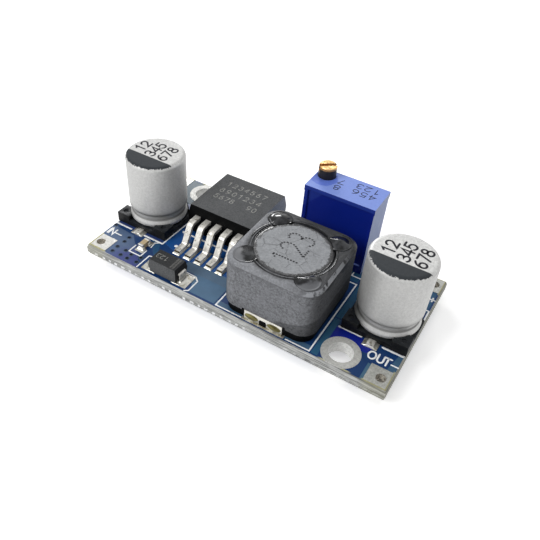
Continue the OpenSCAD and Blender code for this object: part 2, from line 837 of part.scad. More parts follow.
module adjusting_screw() {
    worm_l = worm_turns * worm_lead;
    head = screw_d / 2;
    neck = screw_neck_d / 2;
    color(brass) on_board(screw_at) {
        difference() {
            rotate_extrude() polygon([
                [0, screw_end_z], [shaft_r, screw_end_z], [shaft_r, screw_collar_z],
                [head, screw_collar_z], [head, screw_neck[0]], [neck, screw_neck[0]],
                [neck, screw_neck[1]], [head, screw_neck[1]], [head, screw_top - slot_chamfer],
                [head - slot_chamfer, screw_top], [0, screw_top]
            ]);
            rotate(slot_angle) translate([0, 0, screw_top - slot_depth]) block([screw_d + 1, slot_w, 1]);
        }
        translate([0, 0, rotor_z - worm_l / 2]) rotate(-180 * worm_turns) {
            linear_extrude(
                worm_l, twist = -360 * worm_turns, slices = worm_slices * worm_turns, $fn = worm_sides
            ) worm_section();
        }
    }
}

module screw_o_ring() {
    tube = (screw_d - screw_neck_d) / 4;
    color(black_plastic) on_board(screw_at) translate([0, 0, (screw_neck[0] + screw_neck[1]) / 2]) {
        rotate_extrude() translate([screw_neck_d / 2 + tube, 0]) circle(r = tube - eps, $fn = 24);
    }
}

// Rotor: a toothed wheel on a short axle, turned by the worm
module gear_rotor() {
    pitch_angle = 360 / rotor_teeth;
    shares = [-rotor_root_share, -rotor_tip_share, rotor_tip_share, rotor_root_share];
    radii = [rotor_root_r, rotor_tip_r, rotor_tip_r, rotor_root_r];
    outline = [
        for (i = [0:rotor_teeth - 1]) for (k = [0:3])
            let (a = 180 + pitch_angle * (i + shares[k] / 2)) radii[k] * [cos(a), sin(a)]
    ];
    axle_l = rotor_at.y + axle_back - plate_y - 2 * axle_end_gap;
    color([0.88, 0.87, 0.82]) {
        on_rotor(rotor_at.y - rotor_t / 2) linear_extrude(rotor_t) polygon(outline);
        on_rotor(plate_y + axle_end_gap) cylinder(h = axle_l, d = axle_d);
        on_rotor(wiper_y + wiper_t) cylinder(h = rotor_at.y - wiper_y - wiper_t, d = hub_d);
    }
}

// Wiper: a spring arm fixed to the rotor, with one finger over the collector and one over the track
wiper_t = 0.14;
wiper_w = 0.9;
wiper_lift = 0.28;
wiper_y = plate_y + plate_t + track_t + wiper_lift;
finger_d = 0.34;
finger_gap = 0.03;

module wiper() {
    color(copper) on_rotor(wiper_y) difference() {
        union() {
            cylinder(h = wiper_t, d = hub_d);
            translate([0, -track_outer / 2, 0]) block([wiper_w, track_outer, wiper_t]);
            for (r = [collector_inner + collector_outer, track_inner + track_outer] / 2) {
                translate([0, -r, finger_gap - wiper_lift]) {
                    cylinder(h = wiper_lift, d = finger_d, $fn = 24);
                }
            }
        }
        translate([0, 0, -1]) cylinder(h = 2, d = axle_d);
    }
}

circuit_board();
mounting_hole_rings();
in_plus_pad();
in_minus_pad();
out_plus_pad();
out_minus_pad();
via_collars();
input_capacitor_lands();
output_capacitor_lands();
regulator_lands();
diode_lands();
inductor_lands();
ceramic_capacitor_lands();
feedback_resistor_lands();
trimmer_pin_pads();
input_capacitor_can();
input_capacitor_base();
input_capacitor_front_lead();
input_capacitor_back_lead();
output_capacitor_can();
output_capacitor_base();
output_capacitor_front_lead();
output_capacitor_back_lead();
regulator_body();
regulator_heat_tab();
regulator_lead_1();
regulator_lead_2();
regulator_lead_4();
regulator_lead_5();
diode_body();
diode_anode_lead();
diode_cathode_lead();
ceramic_capacitor_body();
ceramic_capacitor_ends();
feedback_resistor_body();
feedback_resistor_ends();
inductor_shield();
inductor_core();
inductor_winding();
inductor_base();
inductor_front_terminal();
inductor_back_terminal();
inductor_glue();
trimmer_housing();
trimmer_potting();
trimmer_element_plate();
trimmer_track();
trimmer_pin_1();
trimmer_pin_2();
trimmer_pin_3();
trimmer_solder();
screw_o_ring();
adjusting_screw();
gear_rotor();
wiper();
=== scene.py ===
"""Finishes a small buck converter module and lights it on a pale floor.

Lengths in the mesh code are in millimetres, from the centre of the board's underside.
"""

import json
import math

import bmesh
import bpy
from bpy.props import FloatProperty, FloatVectorProperty, PointerProperty
from mathutils import Matrix, Vector, noise

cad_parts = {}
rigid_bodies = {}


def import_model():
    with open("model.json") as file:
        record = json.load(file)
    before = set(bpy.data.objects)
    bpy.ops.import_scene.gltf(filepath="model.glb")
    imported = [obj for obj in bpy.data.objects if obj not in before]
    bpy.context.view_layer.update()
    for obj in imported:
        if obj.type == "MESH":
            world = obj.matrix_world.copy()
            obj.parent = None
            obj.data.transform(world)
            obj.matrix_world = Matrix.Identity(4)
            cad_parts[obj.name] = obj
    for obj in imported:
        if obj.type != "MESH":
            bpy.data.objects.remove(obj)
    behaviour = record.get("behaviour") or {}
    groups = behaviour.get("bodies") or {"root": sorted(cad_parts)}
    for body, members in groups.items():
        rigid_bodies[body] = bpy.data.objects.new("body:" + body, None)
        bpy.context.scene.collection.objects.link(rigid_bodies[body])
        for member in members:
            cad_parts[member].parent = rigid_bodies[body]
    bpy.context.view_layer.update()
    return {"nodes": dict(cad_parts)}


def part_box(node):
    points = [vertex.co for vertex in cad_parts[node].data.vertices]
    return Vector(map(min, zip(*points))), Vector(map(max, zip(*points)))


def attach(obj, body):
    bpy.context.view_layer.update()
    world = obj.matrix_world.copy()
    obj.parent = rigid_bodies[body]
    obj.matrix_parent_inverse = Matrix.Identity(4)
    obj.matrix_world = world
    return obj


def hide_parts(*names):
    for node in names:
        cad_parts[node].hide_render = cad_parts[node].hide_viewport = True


bl_info = {
    "name": "Buck converter module finish",
    "version": (1, 0, 0),
    "blender": (4, 5, 0),
    "location": "3D View > Sidebar > Converter",
    "description": "Solder mask, print, solder, cans, ferrite and plastics for a packed buck converter module",
    "category": "Object",
}

MM = 0.001

for item in list(bpy.data.objects):
    bpy.data.objects.remove(item, do_unlink=True)
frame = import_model()


def place_of(node):
    """Lowest and highest corner of a CAD node, in millimetres."""
    low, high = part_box(node)
    return low / MM, high / MM


def middle_of(node):
    """Middle of a CAD node's box, in millimetres."""
    low, high = place_of(node)
    return (low + high) / 2


def plan_of(node):
    """Lowest and highest corner of a CAD node, seen from above."""
    return [(corner.x, corner.y) for corner in place_of(node)]


BOARD_HIGH = place_of("circuit_board")[1]
BOARD_TOP = BOARD_HIGH.z
LAND_TOP = place_of("regulator_lands")[1].z
SCORE_RUN = 0.18  # width of the slope that the board's scored edge leaves along its top
EDGE_X = BOARD_HIGH.x - SCORE_RUN
EDGE_Y = BOARD_HIGH.y - SCORE_RUN
FLOOR_Z = place_of("trimmer_pin_1")[0].z

INPUT_CAN = middle_of("input_capacitor_can")
OUTPUT_CAN = middle_of("output_capacitor_can")
INDUCTOR = middle_of("inductor_shield")
SCREW = middle_of("adjusting_screw")
DIODE = middle_of("diode_body")


# Shader expressions


class Field:
    """A value over a surface: one socket, with operators that add the nodes of an expression."""

    def __init__(self, tree, socket=None):
        self.tree = tree
        self.socket = socket

    def node(self, kind, settings=(), sockets=(), output=0):
        """Adds a node: its settings are made first, then its sockets get their values or links."""
        made = self.tree.nodes.new(kind)
        for key, value in dict(settings).items():
            setattr(made, key, value)
        for key, value in dict(sockets).items():
            socket = made.inputs[key]
            if isinstance(value, Field):
                self.tree.links.new(value.socket, socket)
            else:
                socket.default_value = value
        return Field(self.tree, made.outputs[output])

    def maths(self, operation, *values):
        """One step of arithmetic on fields and numbers."""
        return self.node("ShaderNodeMath", {"operation": operation}, dict(enumerate(values)))

    def __add__(self, other):
        return self.maths("ADD", self, other)

    def __sub__(self, other):
        return self.maths("SUBTRACT", self, other)

    def __rsub__(self, other):
        return self.maths("SUBTRACT", other, self)

    def __mul__(self, other):
        return self.maths("MULTIPLY", self, other)

    __radd__ = __add__
    __rmul__ = __mul__

    def __pow__(self, other):
        return self.maths("POWER", self, other)

    def __abs__(self):
        return self.maths("ABSOLUTE", self)

    def sine(self):
        return self.maths("SINE", self)

    def least(self, other):
        return self.maths("MINIMUM", self, other)

    def most(self, other):
        return self.maths("MAXIMUM", self, other)

    def axes(self):
        """The three parts of a vector."""
        split = self.node("ShaderNodeSeparateXYZ", {}, {0: self})
        return [Field(self.tree, socket) for socket in split.socket.node.outputs]

    def stretch(self, x, y, z):
        """A vector with each part scaled."""
        return self.node("ShaderNodeVectorMath", {"operation": "MULTIPLY"}, {0: self, 1: (x, y, z)})

    def rise(self, start, end):
        """0 at start and 1 at end, with a smooth step between them."""
        sockets = {"Value": self, "From Min": start, "From Max": end}
        return self.node("ShaderNodeMapRange", {"interpolation_type": "SMOOTHSTEP"}, sockets)

    def band(self, start, full, fall, end):
        """1 from full to fall and 0 outside start and end, with smooth steps between them."""
        return self.rise(start, full) * self.rise(end, fall)

    def blend(self, first, second):
        """Colour: first where this mask is 0, second where it is 1."""
        sockets = {0: self, 6: shown(first), 7: shown(second)}
        return self.node("ShaderNodeMix", {"data_type": "RGBA"}, sockets, 2)

    def shade(self, colour, first, second):
        """One colour at two strengths: first where this mask is 0, second where it is 1."""
        return self.blend(Vector(colour) * first, Vector(colour) * second)

    def tint(self, share):
        """This colour multiplied by a grey that varies."""
        settings = {"operation": "SCALE"}
        return self.node("ShaderNodeVectorMath", settings, {0: self, "Scale": share})

    def noise(self, scale, detail=3.0, roughness=0.55):
        """Smooth irregular pattern from 0 to 1; scale is in waves for each millimetre."""
        sockets = {"Vector": self, "Scale": scale, "Detail": detail, "Roughness": roughness}
        return self.node("ShaderNodeTexNoise", {}, sockets)

    def cells(self, scale, feature="F1"):
        """Distance in a pattern of irregular cells, from a cell's middle or from its edge."""
        sockets = {"Vector": self, "Scale": scale}
        return self.node("ShaderNodeTexVoronoi", {"feature": feature}, sockets)


def shown(colour):
    """A colour as a socket takes it."""
    return colour if isinstance(colour, Field) else (*colour[:3], 1.0)


def new_finish(name, fixed=()):
    """A material with the constant sockets of its shader set, and the place on the part in millimetres."""
    made = bpy.data.materials.new(name)
    made.use_nodes = True
    shader = made.node_tree.nodes["Principled BSDF"]
    for key, value in dict(fixed).items():
        shader.inputs[key].default_value = value
    start = Field(made.node_tree)
    place = start.node("ShaderNodeTexCoord", output="Object").stretch(1 / MM, 1 / MM, 1 / MM)
    return made, place


def feed(made, name, value):
    """Gives one socket of a material's shader a colour, a number or a field."""
    socket = made.node_tree.nodes["Principled BSDF"].inputs[name]
    if isinstance(value, Field):
        made.node_tree.links.new(value.socket, socket)
    else:
        socket.default_value = shown(value) if name.endswith("Color") else value


def speckled(name, fixed, first, second, *pattern):
    """A material whose colour wanders between two tones; the pattern is the noise's scale and detail."""
    made, place = new_finish(name, fixed)
    feed(made, "Base Color", place.noise(*pattern).blend(first, second))
    return made, place


def relief(made, height):
    """Bumps from a height in millimetres."""
    sockets = {"Strength": 1.0, "Distance": MM, "Height": height}
    feed(made, "Normal", height.node("ShaderNodeBump", {}, sockets, "Normal"))


def facing(place):
    """The three parts of the surface's own direction."""
    return place.node("ShaderNodeTexCoord", output="Normal").axes()


def from_axis(x, y, axis):
    """Distance from an upright axis."""
    return ((x - axis.x) ** 2 + (y - axis.y) ** 2) ** 0.5


def within(x, y, corners, soft=0.05):
    """Mask of a convex patch of the board, its corners given anticlockwise."""
    mask = None
    for start, end in zip(corners, corners[1:] + corners[:1]):
        run = Vector(end) - Vector(start)
        inward = Vector((-run.y, run.x)).normalized()
        offset = inward.dot(Vector(start))
        side = (x * inward.x + y * inward.y).rise(offset - soft, offset + soft)
        mask = side if mask is None else mask.least(side)
    return mask


def dress(made, *nodes):
    """Puts a material on CAD nodes."""
    for node in nodes:
        for slot in frame["nodes"][node].material_slots:
            slot.material = made


WELD_REACH = 0.002  # corners closer than this become one
EDGE_ANGLE = math.radians(32)  # edges that turn by less stay as they are


def soften(width, *nodes):
    """Rounds the sharp edges of CAD nodes a little, with modifiers."""
    for node in nodes:
        piece = frame["nodes"][node]
        weld = piece.modifiers.new("Weld", "WELD")
        weld.merge_threshold = WELD_REACH * MM
        bevel = piece.modifiers.new("Edges", "BEVEL")
        bevel.width = width * MM
        bevel.segments = 2
        bevel.limit_method = "ANGLE"
        bevel.angle_limit = EDGE_ANGLE
        normals = piece.modifiers.new("Normals", "WEIGHTED_NORMAL")
        normals.keep_sharp = False


# Mesh pieces


def new_object(name, mesh, made, smooth):
    """An object from a mesh in millimetres."""
    bmesh.ops.scale(mesh, vec=(MM, MM, MM), verts=mesh.verts)
    for face in mesh.faces:
        face.smooth = smooth
    data = bpy.data.meshes.new(name)
    mesh.to_mesh(data)
    mesh.free()
    data.materials.append(made)
    piece = bpy.data.objects.new(name, data)
    bpy.context.scene.collection.objects.link(piece)
    return piece


def new_piece(name, mesh, made, body="module", smooth=True):
    """An object that rides on a body and takes its finish from a slot."""
    piece = new_object(name, mesh, made, smooth)
    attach(piece, body)
    return piece


def sheet_of(mesh, rows, wrap=False):
    """Quads through rows of points; wrap joins the end of each row to its start."""
    grid = [[mesh.verts.new(point) for point in row] for row in rows]
    for lower, upper in zip(grid, grid[1:]):
        count = len(lower)
        for i in range(count if wrap else count - 1):
            j = (i + 1) % count
            mesh.faces.new((lower[i], lower[j], upper[j], upper[i]))
    return grid


def face_plan(origin, along=(1, 0, 0), up=(0, 1, 0)):
    """Maps a place on a flat face, and a height over it, to the part."""
    start, across, upward = Vector(origin), Vector(along), Vector(up)
    out = across.cross(upward)
    return lambda u, v, lift=0.0: start + across * u + upward * v + out * lift


def steps(start, end, count):
    """Even steps, with both ends."""
    return [start + (end - start) * i / (count - 1) for i in range(count)]


def turns(count):
    """Even angles round a full turn."""
    return [math.tau * i / count for i in range(count)]


def ray_at(angle):
    """Direction on the board's plane."""
    return Vector((math.cos(angle), math.sin(angle)))


def arc(x, y, wide, high, start, end, count=9):
    """Points on part of an oval, with its angles in degrees."""
    angles = [math.radians(a) for a in steps(start, end, count)]
    return [(x + wide * math.cos(a), y + high * math.sin(a)) for a in angles]


def loop(x, y, wide, high, count=15):
    """A whole oval, closed."""
    return arc(x, y, wide, high, 0, 360, count)


def turned_left(v):
    """A direction turned by a quarter, anticlockwise."""
    return Vector((-v.y, v.x))


def flat_face(mesh, plan, corners, lift):
    """One flat face on its plan."""
    mesh.faces.new([mesh.verts.new(plan(*corner, lift)) for corner in corners])


MITRE_LIMIT = 0.4  # keeps the outer corner of a sharp bend short
END_TURNS = (math.radians(50), math.radians(15))  # places of the points that round a line's end


def line(mesh, plan, points, width, rise=0.02):
    """A raised line of paint with mitred corners and round ends, closed if it ends where it starts."""
    path = [Vector(p) for p in points]
    closed = (path[0] - path[-1]).length < 1e-6
    if closed:
        path = path[:-1]
    count, half = len(path), width / 2
    rows = []
    for i, point in enumerate(path):
        before = (point - path[i - 1]) if closed or i else path[1] - path[0]
        after = (path[(i + 1) % count] - point) if closed or i < count - 1 else before
        before, after = before.normalized(), after.normalized()
        across = turned_left(before + after).normalized()
        rows.append((point, across * half / max(MITRE_LIMIT, across.dot(turned_left(before)))))
    if closed:
        rows.append(rows[0])
    else:
        head = (path[0] - path[1]).normalized()
        tail = (path[-1] - path[-2]).normalized()
        for turn in END_TURNS:
            ahead, narrow = half * math.cos(turn), math.sin(turn)
            rows.insert(0, (path[0] + head * ahead, rows[0][1].normalized() * half * narrow))
            rows.append((path[-1] + tail * ahead, rows[-1][1].normalized() * half * narrow))
    shares = ((1.0, 0.0), (0.75, rise), (-0.75, rise), (-1.0, 0.0))
    sheet_of(mesh, [[plan(*(centre + reach * s), lift) for s, lift in shares] for centre, reach in rows])


def dotted_line(mesh, plan, points, size, gap, rise=0.015):
    """Small square dots along a path."""
    for start, end in zip(points, points[1:]):
        start, end = Vector(start), Vector(end)
        count = max(1, round((end - start).length / gap))
        for i in range(count):
            centre = start.lerp(end, (i + 0.5) / count)
            corners = [centre + Vector(c) * size / 2 for c in ((-1, -1), (1, -1), (1, 1), (-1, 1))]
            flat_face(mesh, plan, corners, rise)


# Strokes of each sign, one unit high
GLYPHS = {
    "0": [loop(0.3, 0.5, 0.3, 0.5, 17)],
    "1": [[(0.1, 0.8), (0.34, 1), (0.34, 0)]],
    "2": [arc(0.3, 0.7, 0.3, 0.3, 165, -35) + [(0, 0), (0.62, 0)]],
    "3": [arc(0.28, 0.75, 0.27, 0.25, 150, -90) + arc(0.28, 0.26, 0.32, 0.26, 80, -150)],
    "4": [[(0.45, 0), (0.45, 1), (0, 0.3), (0.62, 0.3)]],
    "5": [[(0.56, 1), (0.1, 1), (0.05, 0.55)] + arc(0.27, 0.33, 0.32, 0.33, 115, -150)],
    "6": [loop(0.3, 0.3, 0.29, 0.3), arc(0.62, 0.35, 0.61, 0.65, 180, 105)],
    "7": [[(0, 1), (0.6, 1), (0.22, 0)]],
    "8": [loop(0.3, 0.76, 0.23, 0.24), loop(0.3, 0.27, 0.3, 0.27)],
    "9": [loop(0.3, 0.7, 0.29, 0.3), arc(-0.02, 0.65, 0.61, 0.65, 0, -75)],
    "I": [[(0.3, 0), (0.3, 1)]],
    "N": [[(0, 0), (0, 1), (0.62, 0), (0.62, 1)]],
    "O": [loop(0.36, 0.5, 0.38, 0.5, 19)],
    "U": [[(0, 1), (0, 0.3)] + arc(0.3, 0.3, 0.3, 0.3, 190, 350) + [(0.6, 0.3), (0.6, 1)]],
    "T": [[(0, 1), (0.64, 1)], [(0.32, 0.95), (0.32, 0)]],
    "+": [[(0, 0.5), (0.6, 0.5)], [(0.3, 0.8), (0.3, 0.2)]],
    "-": [[(0, 0.5), (0.6, 0.5)]],
}


def glyph_lines(sign, start, height, squeeze=1.0):
    """The strokes of one sign, at a place on its face."""
    strokes = GLYPHS[sign]
    return [[(start[0] + u * height * squeeze, start[1] + v * height) for u, v in s] for s in strokes]


def write_row(mesh, plan, text, start, height, spacing, weight, squeeze=1.0):
    """A row of signs as raised lines."""
    for i, sign in enumerate(text):
        for points in glyph_lines(sign, (start[0] + i * spacing, start[1]), height, squeeze):
            line(mesh, plan, points, weight)


def wander(x, y, z=0.0, scale=1.0):
    """Smooth irregular value from -1 to 1 at a place."""
    return noise.noise(Vector((x, y, z)) * scale)


SKIN_GAP = 0.003  # least height of solder over its land
SKIN_EDGE = 0.14  # width of the solder's round edge


def solder_skin(mesh, land, metal, wet, film=0.03, spread=0.17, step=0.06):
    """Solder on a land: it climbs the metal's sides and thins out to the land's edge."""
    (land_x0, land_y0), (land_x1, land_y1) = land
    (x0, y0), (x1, y1) = metal
    rows = []
    for y in steps(land_y0, land_y1, max(5, round((land_y1 - land_y0) / step))):
        row = []
        for x in steps(land_x0, land_x1, max(5, round((land_x1 - land_x0) / step))):
            away = math.hypot(max(x0 - x, 0, x - x1), max(y0 - y, 0, y - y1))
            edge = min(x - land_x0, land_x1 - x, y - land_y0, land_y1 - y)
            rim = min(1.0, edge / SKIN_EDGE)
            rim = math.sqrt(max(0.0, rim * (2 - rim)))
            height = film + wet * math.exp(-away / spread) * (1 + 0.25 * wander(x, y, wet, 1.1))
            row.append(Vector((x, y, LAND_TOP + SKIN_GAP + height * rim)))
        rows.append(row)
    sheet_of(mesh, rows)


CROWN_SHARE = 0.12  # the flat face in the middle of a dome, as a share of the dome


def pillow(mesh, plan, centre, half, rise, rings=5, count=24, sharp=2.0):
    """A low dome on an oval, which gets squarer as sharp goes over 2."""
    rows = []
    for share in steps(1.0, CROWN_SHARE, rings):
        lift = rise * (1 - share**2)
        ring = []
        for a in turns(count):
            u = math.copysign(abs(math.cos(a)) ** (2 / sharp), math.cos(a)) * half[0] * share
            v = math.copysign(abs(math.sin(a)) ** (2 / sharp), math.sin(a)) * half[1] * share
            ring.append(plan(centre[0] + u, centre[1] + v, lift))
        rows.append(ring)
    grid = sheet_of(mesh, rows, wrap=True)
    mesh.faces.new(grid[-1])


# Looks that a user can change


def colour(name, description, default):
    """Setting for one colour."""
    return FloatVectorProperty(
        name=name, description=description, default=default, subtype="COLOR", size=3, min=0, max=1
    )


def share(name, description, default):
    """Setting for a number from 0 to 1."""
    return FloatProperty(name=name, description=description, default=default, subtype="FACTOR", min=0, max=1)


class BoardLook(bpy.types.PropertyGroup):
    """Finish of the board, its print and its copper."""

    bare: colour("Bare mask", "Solder mask where there is no copper under it", (0.005, 0.032, 0.125))
    teal: colour("Teal pour", "Solder mask over copper", (0.024, 0.098, 0.185))
    violet: colour("Violet pour", "Solder mask over the copper round the vias", (0.036, 0.052, 0.175))
    laminate: colour("Laminate", "Glass laminate of the board's scored edges", (0.78, 0.79, 0.77))
    rim: colour("Rim", "Bare laminate along the top's edge", (0.36, 0.35, 0.17))
    print_white: colour("Print", "White component print", (0.94, 0.95, 0.95))
    line_width: FloatProperty(
        name="Print line", description="Width of a printed line, in millimetres", default=0.19, min=0.05, max=0.5
    )
    pad: colour("Bright pad", "Tinned wire pads at the input end", (0.72, 0.715, 0.68))
    aged_pad: colour("Dull pad", "Tinned wire pads at the output end", (0.47, 0.475, 0.445))
    pad_bore: colour("Pad bore", "Plated walls of the pads' holes", (0.66, 0.62, 0.54))
    ring: colour("Ring", "Land round the mounting holes", (0.62, 0.62, 0.59))
    ring_bore: colour("Ring bore", "Plated walls of the mounting holes", (0.86, 0.86, 0.84))


class MetalLook(bpy.types.PropertyGroup):
    """Finish of the metal parts."""

    can: colour("Can", "Aluminium of the capacitor cans", (0.64, 0.64, 0.63))
    can_roughness: share("Can roughness", "How matt the cans are", 0.46)
    lead: colour("Lead", "Tinned leads", (0.74, 0.72, 0.67))
    solder: colour("Solder", "Solder on the lands", (0.60, 0.59, 0.54))
    solder_roughness: share("Solder roughness", "How matt the solder is", 0.3)
    brass: colour("Brass", "Adjusting screw", (0.74, 0.47, 0.20))
    ink: colour("Ink", "Marks on the cans and the trimmer", (0.018, 0.018, 0.022))


class BodyLook(bpy.types.PropertyGroup):
    """Finish of the moulded, fired and cast parts."""

    moulded: colour("Moulded grey", "Regulator and diode", (0.060, 0.062, 0.064))
    etched: colour("Etched mark", "Marks cut into the moulded bodies", (0.36, 0.36, 0.34))
    ferrite: colour("Ferrite", "Shield of the inductor", (0.165, 0.17, 0.182))
    drum: colour("Drum top", "Worn top of the drum core", (0.27, 0.28, 0.295))
    glue: colour("Glue", "Adhesive in the shield's pockets", (0.010, 0.011, 0.013))
    trimmer: colour("Trimmer blue", "Housing of the trimmer", (0.004, 0.017, 0.25))
    # painted light and reflection on the trimmer's top and ends
    trimmer_pale: colour("Painted light blue", "Trimmer's top and ends", (0.243, 0.345, 0.79))
    base: colour("Base black", "Plastic bases of the capacitors and the inductor", (0.008, 0.009, 0.010))


class StageLook(bpy.types.PropertyGroup):
    """Light, floor and camera."""

    key_power: FloatProperty(
        name="Key", description="Power of the soft light at the upper left", default=0.40, unit="POWER", min=0
    )
    top_power: FloatProperty(
        name="Overhead", description="Power of the soft light overhead", default=0.20, unit="POWER", min=0
    )
    strip_power: FloatProperty(
        name="Back strip", description="Power of the small lamp low at the back", default=0.24, unit="POWER", min=0
    )
    sky: share("Sky", "Level of the light from all round", 0.28)
    floor: share("Floor", "Paleness of the floor", 0.9)
    lens: FloatProperty(
        name="Lens", description="Focal length for a 36 mm wide picture", default=39.74, unit="CAMERA", min=10
    )
    roll: FloatProperty(
        name="Roll", description="Turn of the camera about its line of sight",
        default=math.radians(2.929), subtype="ANGLE",
    )


# Board


# Copper under the mask: tone, strength, and corners anticlockwise
POURS = (
    ("mist", 1.0, ((-21.5, -10.4), (-13.2, -10.4), (-13.4, -9.5), (-17.6, -5.45), (-21.5, -5.1))),
    ("teal", 0.6, ((-15.2, -4.6), (-12.9, -7.1), (-12.3, -7.1), (-13.6, -4.6))),
    ("royal", 1.0, ((-13.2, -4.3), (-8.9, -5.6), (-1.2, -5.3), (-1.2, -0.4), (-13.2, -0.4))),
    ("slate", 0.9, ((-8.3, -7.1), (-1.2, -7.1), (-1.2, -5.2), (-8.3, -5.5))),
    ("steel", 1.0, ((-4.9, -10.0), (-1.2, -10.0), (-1.2, -6.9), (-6.3, -6.9))),
    ("steel", 0.85, ((-1.1, -10.1), (12.0, -10.1), (12.0, -9.2), (-1.1, -9.2))),
    ("teal", 1.0, ((12.2, -10.1), (13.0, -10.1), (13.0, -3.6), (12.2, -3.6))),
    ("marine", 1.0, ((13.0, -6.9), (17.6, -6.6), (18.1, -5.0), (13.0, -4.5))),
    ("sea", 1.0, ((18.3, -10.4), (21.4, -10.4), (21.4, -7.75), (18.3, -7.75))),
    ("sea", 0.7, ((20.4, -7.8), (21.5, -7.8), (21.5, -4.8), (20.9, -4.8))),
    ("teal", 0.8, ((12.1, 3.4), (21.2, 3.4), (21.2, 7.6), (12.1, 7.6))),
    ("teal", 1.0, ((12.2, -3.4), (13.4, -3.4), (13.4, 3.2), (12.2, 3.2))),
    # copper at the back-left corner, painted darker as painted shade
    ("shaded_teal", 1.0, ((-21.1, 4.8), (-13.2, 4.8), (-13.2, 10.1), (-21.1, 10.1))),
    ("violet", 0.6, ((-21.1, -4.4), (-13.6, -4.4), (-13.6, 4.6), (-21.1, 4.6))),
    ("teal", 0.75, ((-1.0, 3.5), (11.9, 3.5), (11.9, 10.1), (-1.0, 10.1))),
)


RING_X = 15.2  # where a mounting hole's land comes near the board's long edge
RIM_X, RIM_Y = 18.4, 7.2  # the top's rim is bare from here to each corner


def mask_finish(look):
    """Blue solder mask over copper pours, with pale laminate at the scored edges."""
    made, place = new_finish("Solder mask", {"Specular IOR Level": 0.24})
    x, y, z = place.axes()
    tones = {
        "teal": look.teal, "violet": look.violet, "steel": (0.065, 0.137, 0.230), "sea": (0.060, 0.135, 0.210),
        "slate": (0.083, 0.142, 0.212), "shaded_teal": (0.010, 0.045, 0.070),
        "royal": (0.009, 0.066, 0.235), "marine": (0.004, 0.014, 0.245),
    }
    lean = (x * 0.8 - y * 0.6 + 3 * (place.noise(0.6, 3.0) - 0.5)).rise(-9.8, -6.6)
    tones["mist"] = lean.blend((0.070, 0.118, 0.218), (0.046, 0.062, 0.215))
    tone = place.noise(0.25, 1.0).blend(look.bare, (0.009, 0.045, 0.15))
    copper = None
    for name, strength, corners in POURS:
        patch = within(x, y, list(corners)) * strength
        tone = patch.blend(tone, tones[name])
        copper = patch if copper is None else copper.most(patch)
    tone = tone.tint(0.84 + 0.3 * place.noise(0.9, 4.0))
    weave = place.stretch(3.1, 3.1, 0).noise(1.0, 1.0)
    fleck = place.cells(1.3).rise(0.045, 0.02) * place.noise(0.7, 1.0).rise(0.5, 0.6)
    tone = (fleck * 0.35).blend(tone, (0.45, 0.5, 0.55))
    edge = (abs(x) - EDGE_X).most(abs(y) - EDGE_Y) + 0.1 * (place.noise(2.0) - 0.5)
    by_ring = abs(abs(x) - RING_X).rise(2.2, 1.6) * (x * y).rise(-60, -80)
    corner = (abs(x).rise(RIM_X, RIM_X + 0.3) * abs(y).rise(RIM_Y, RIM_Y + 0.3)).most(by_ring)
    bare_rim = edge.rise(-0.24, -0.17) * corner
    tone = bare_rim.blend(tone, place.noise(3.0).rise(0.3, 0.7).blend(look.rim, (0.42, 0.41, 0.30)))
    upright = abs(facing(place)[2]).rise(0.75, 0.4)
    fibre = place.stretch(0.7, 0.7, 9.0).noise(1.0, 5.0, 0.7)
    chips = place.stretch(2.6, 2.6, 5.0).noise(1.0, 3.0, 0.6)
    plies = place.stretch(0.12, 0.12, 7.0).noise(1.0, 2.0, 0.5)
    wall = fibre.rise(0.3, 0.65).shade(look.laminate, 0.38, 0.78)
    outward = x.rise(-2, 14)
    wall = (plies.rise(0.50, 0.43) * (0.55 + 0.4 * outward)).blend(wall, Vector(look.laminate) * 0.17)
    bundles = ((x + y) * 5.6 + 5 * place.noise(0.5, 1.0)).sine().rise(-0.1, 0.7)
    bundles = bundles * z.rise(0.25, 0.4) * z.rise(0.8, 0.6)
    bundles = bundles * place.stretch(0.45, 0.45, 0).noise(1.0, 1.0).rise(0.36, 0.5) * (1 - 0.75 * outward)
    wall = (bundles * chips.rise(0.33, 0.45)).blend(wall, (0.92, 0.93, 0.95))
    # A dark line along the bottom of the scored edge is painted shadow.
    wall = (z.rise(0.26, 0.14) * 0.7).blend(wall, Vector(look.laminate) * 0.22)
    wall = (abs(x).rise(18.2, 19.2) * 0.35).blend(wall, (0.46, 0.45, 0.33))
    feed(made, "Base Color", upright.blend(tone, wall))
    feed(made, "Roughness", upright.most(bare_rim) * 0.42 + 0.27 + 0.1 * place.noise(1.7))
    broken = upright * (fibre * 0.06 + chips * 0.10)
    relief(made, copper * 0.03 + weave * 0.006 - bare_rim * 0.025 + broken)
    return made


AGED_FROM, AGED_FULL = 4, 12  # places along the board between which tin goes dull


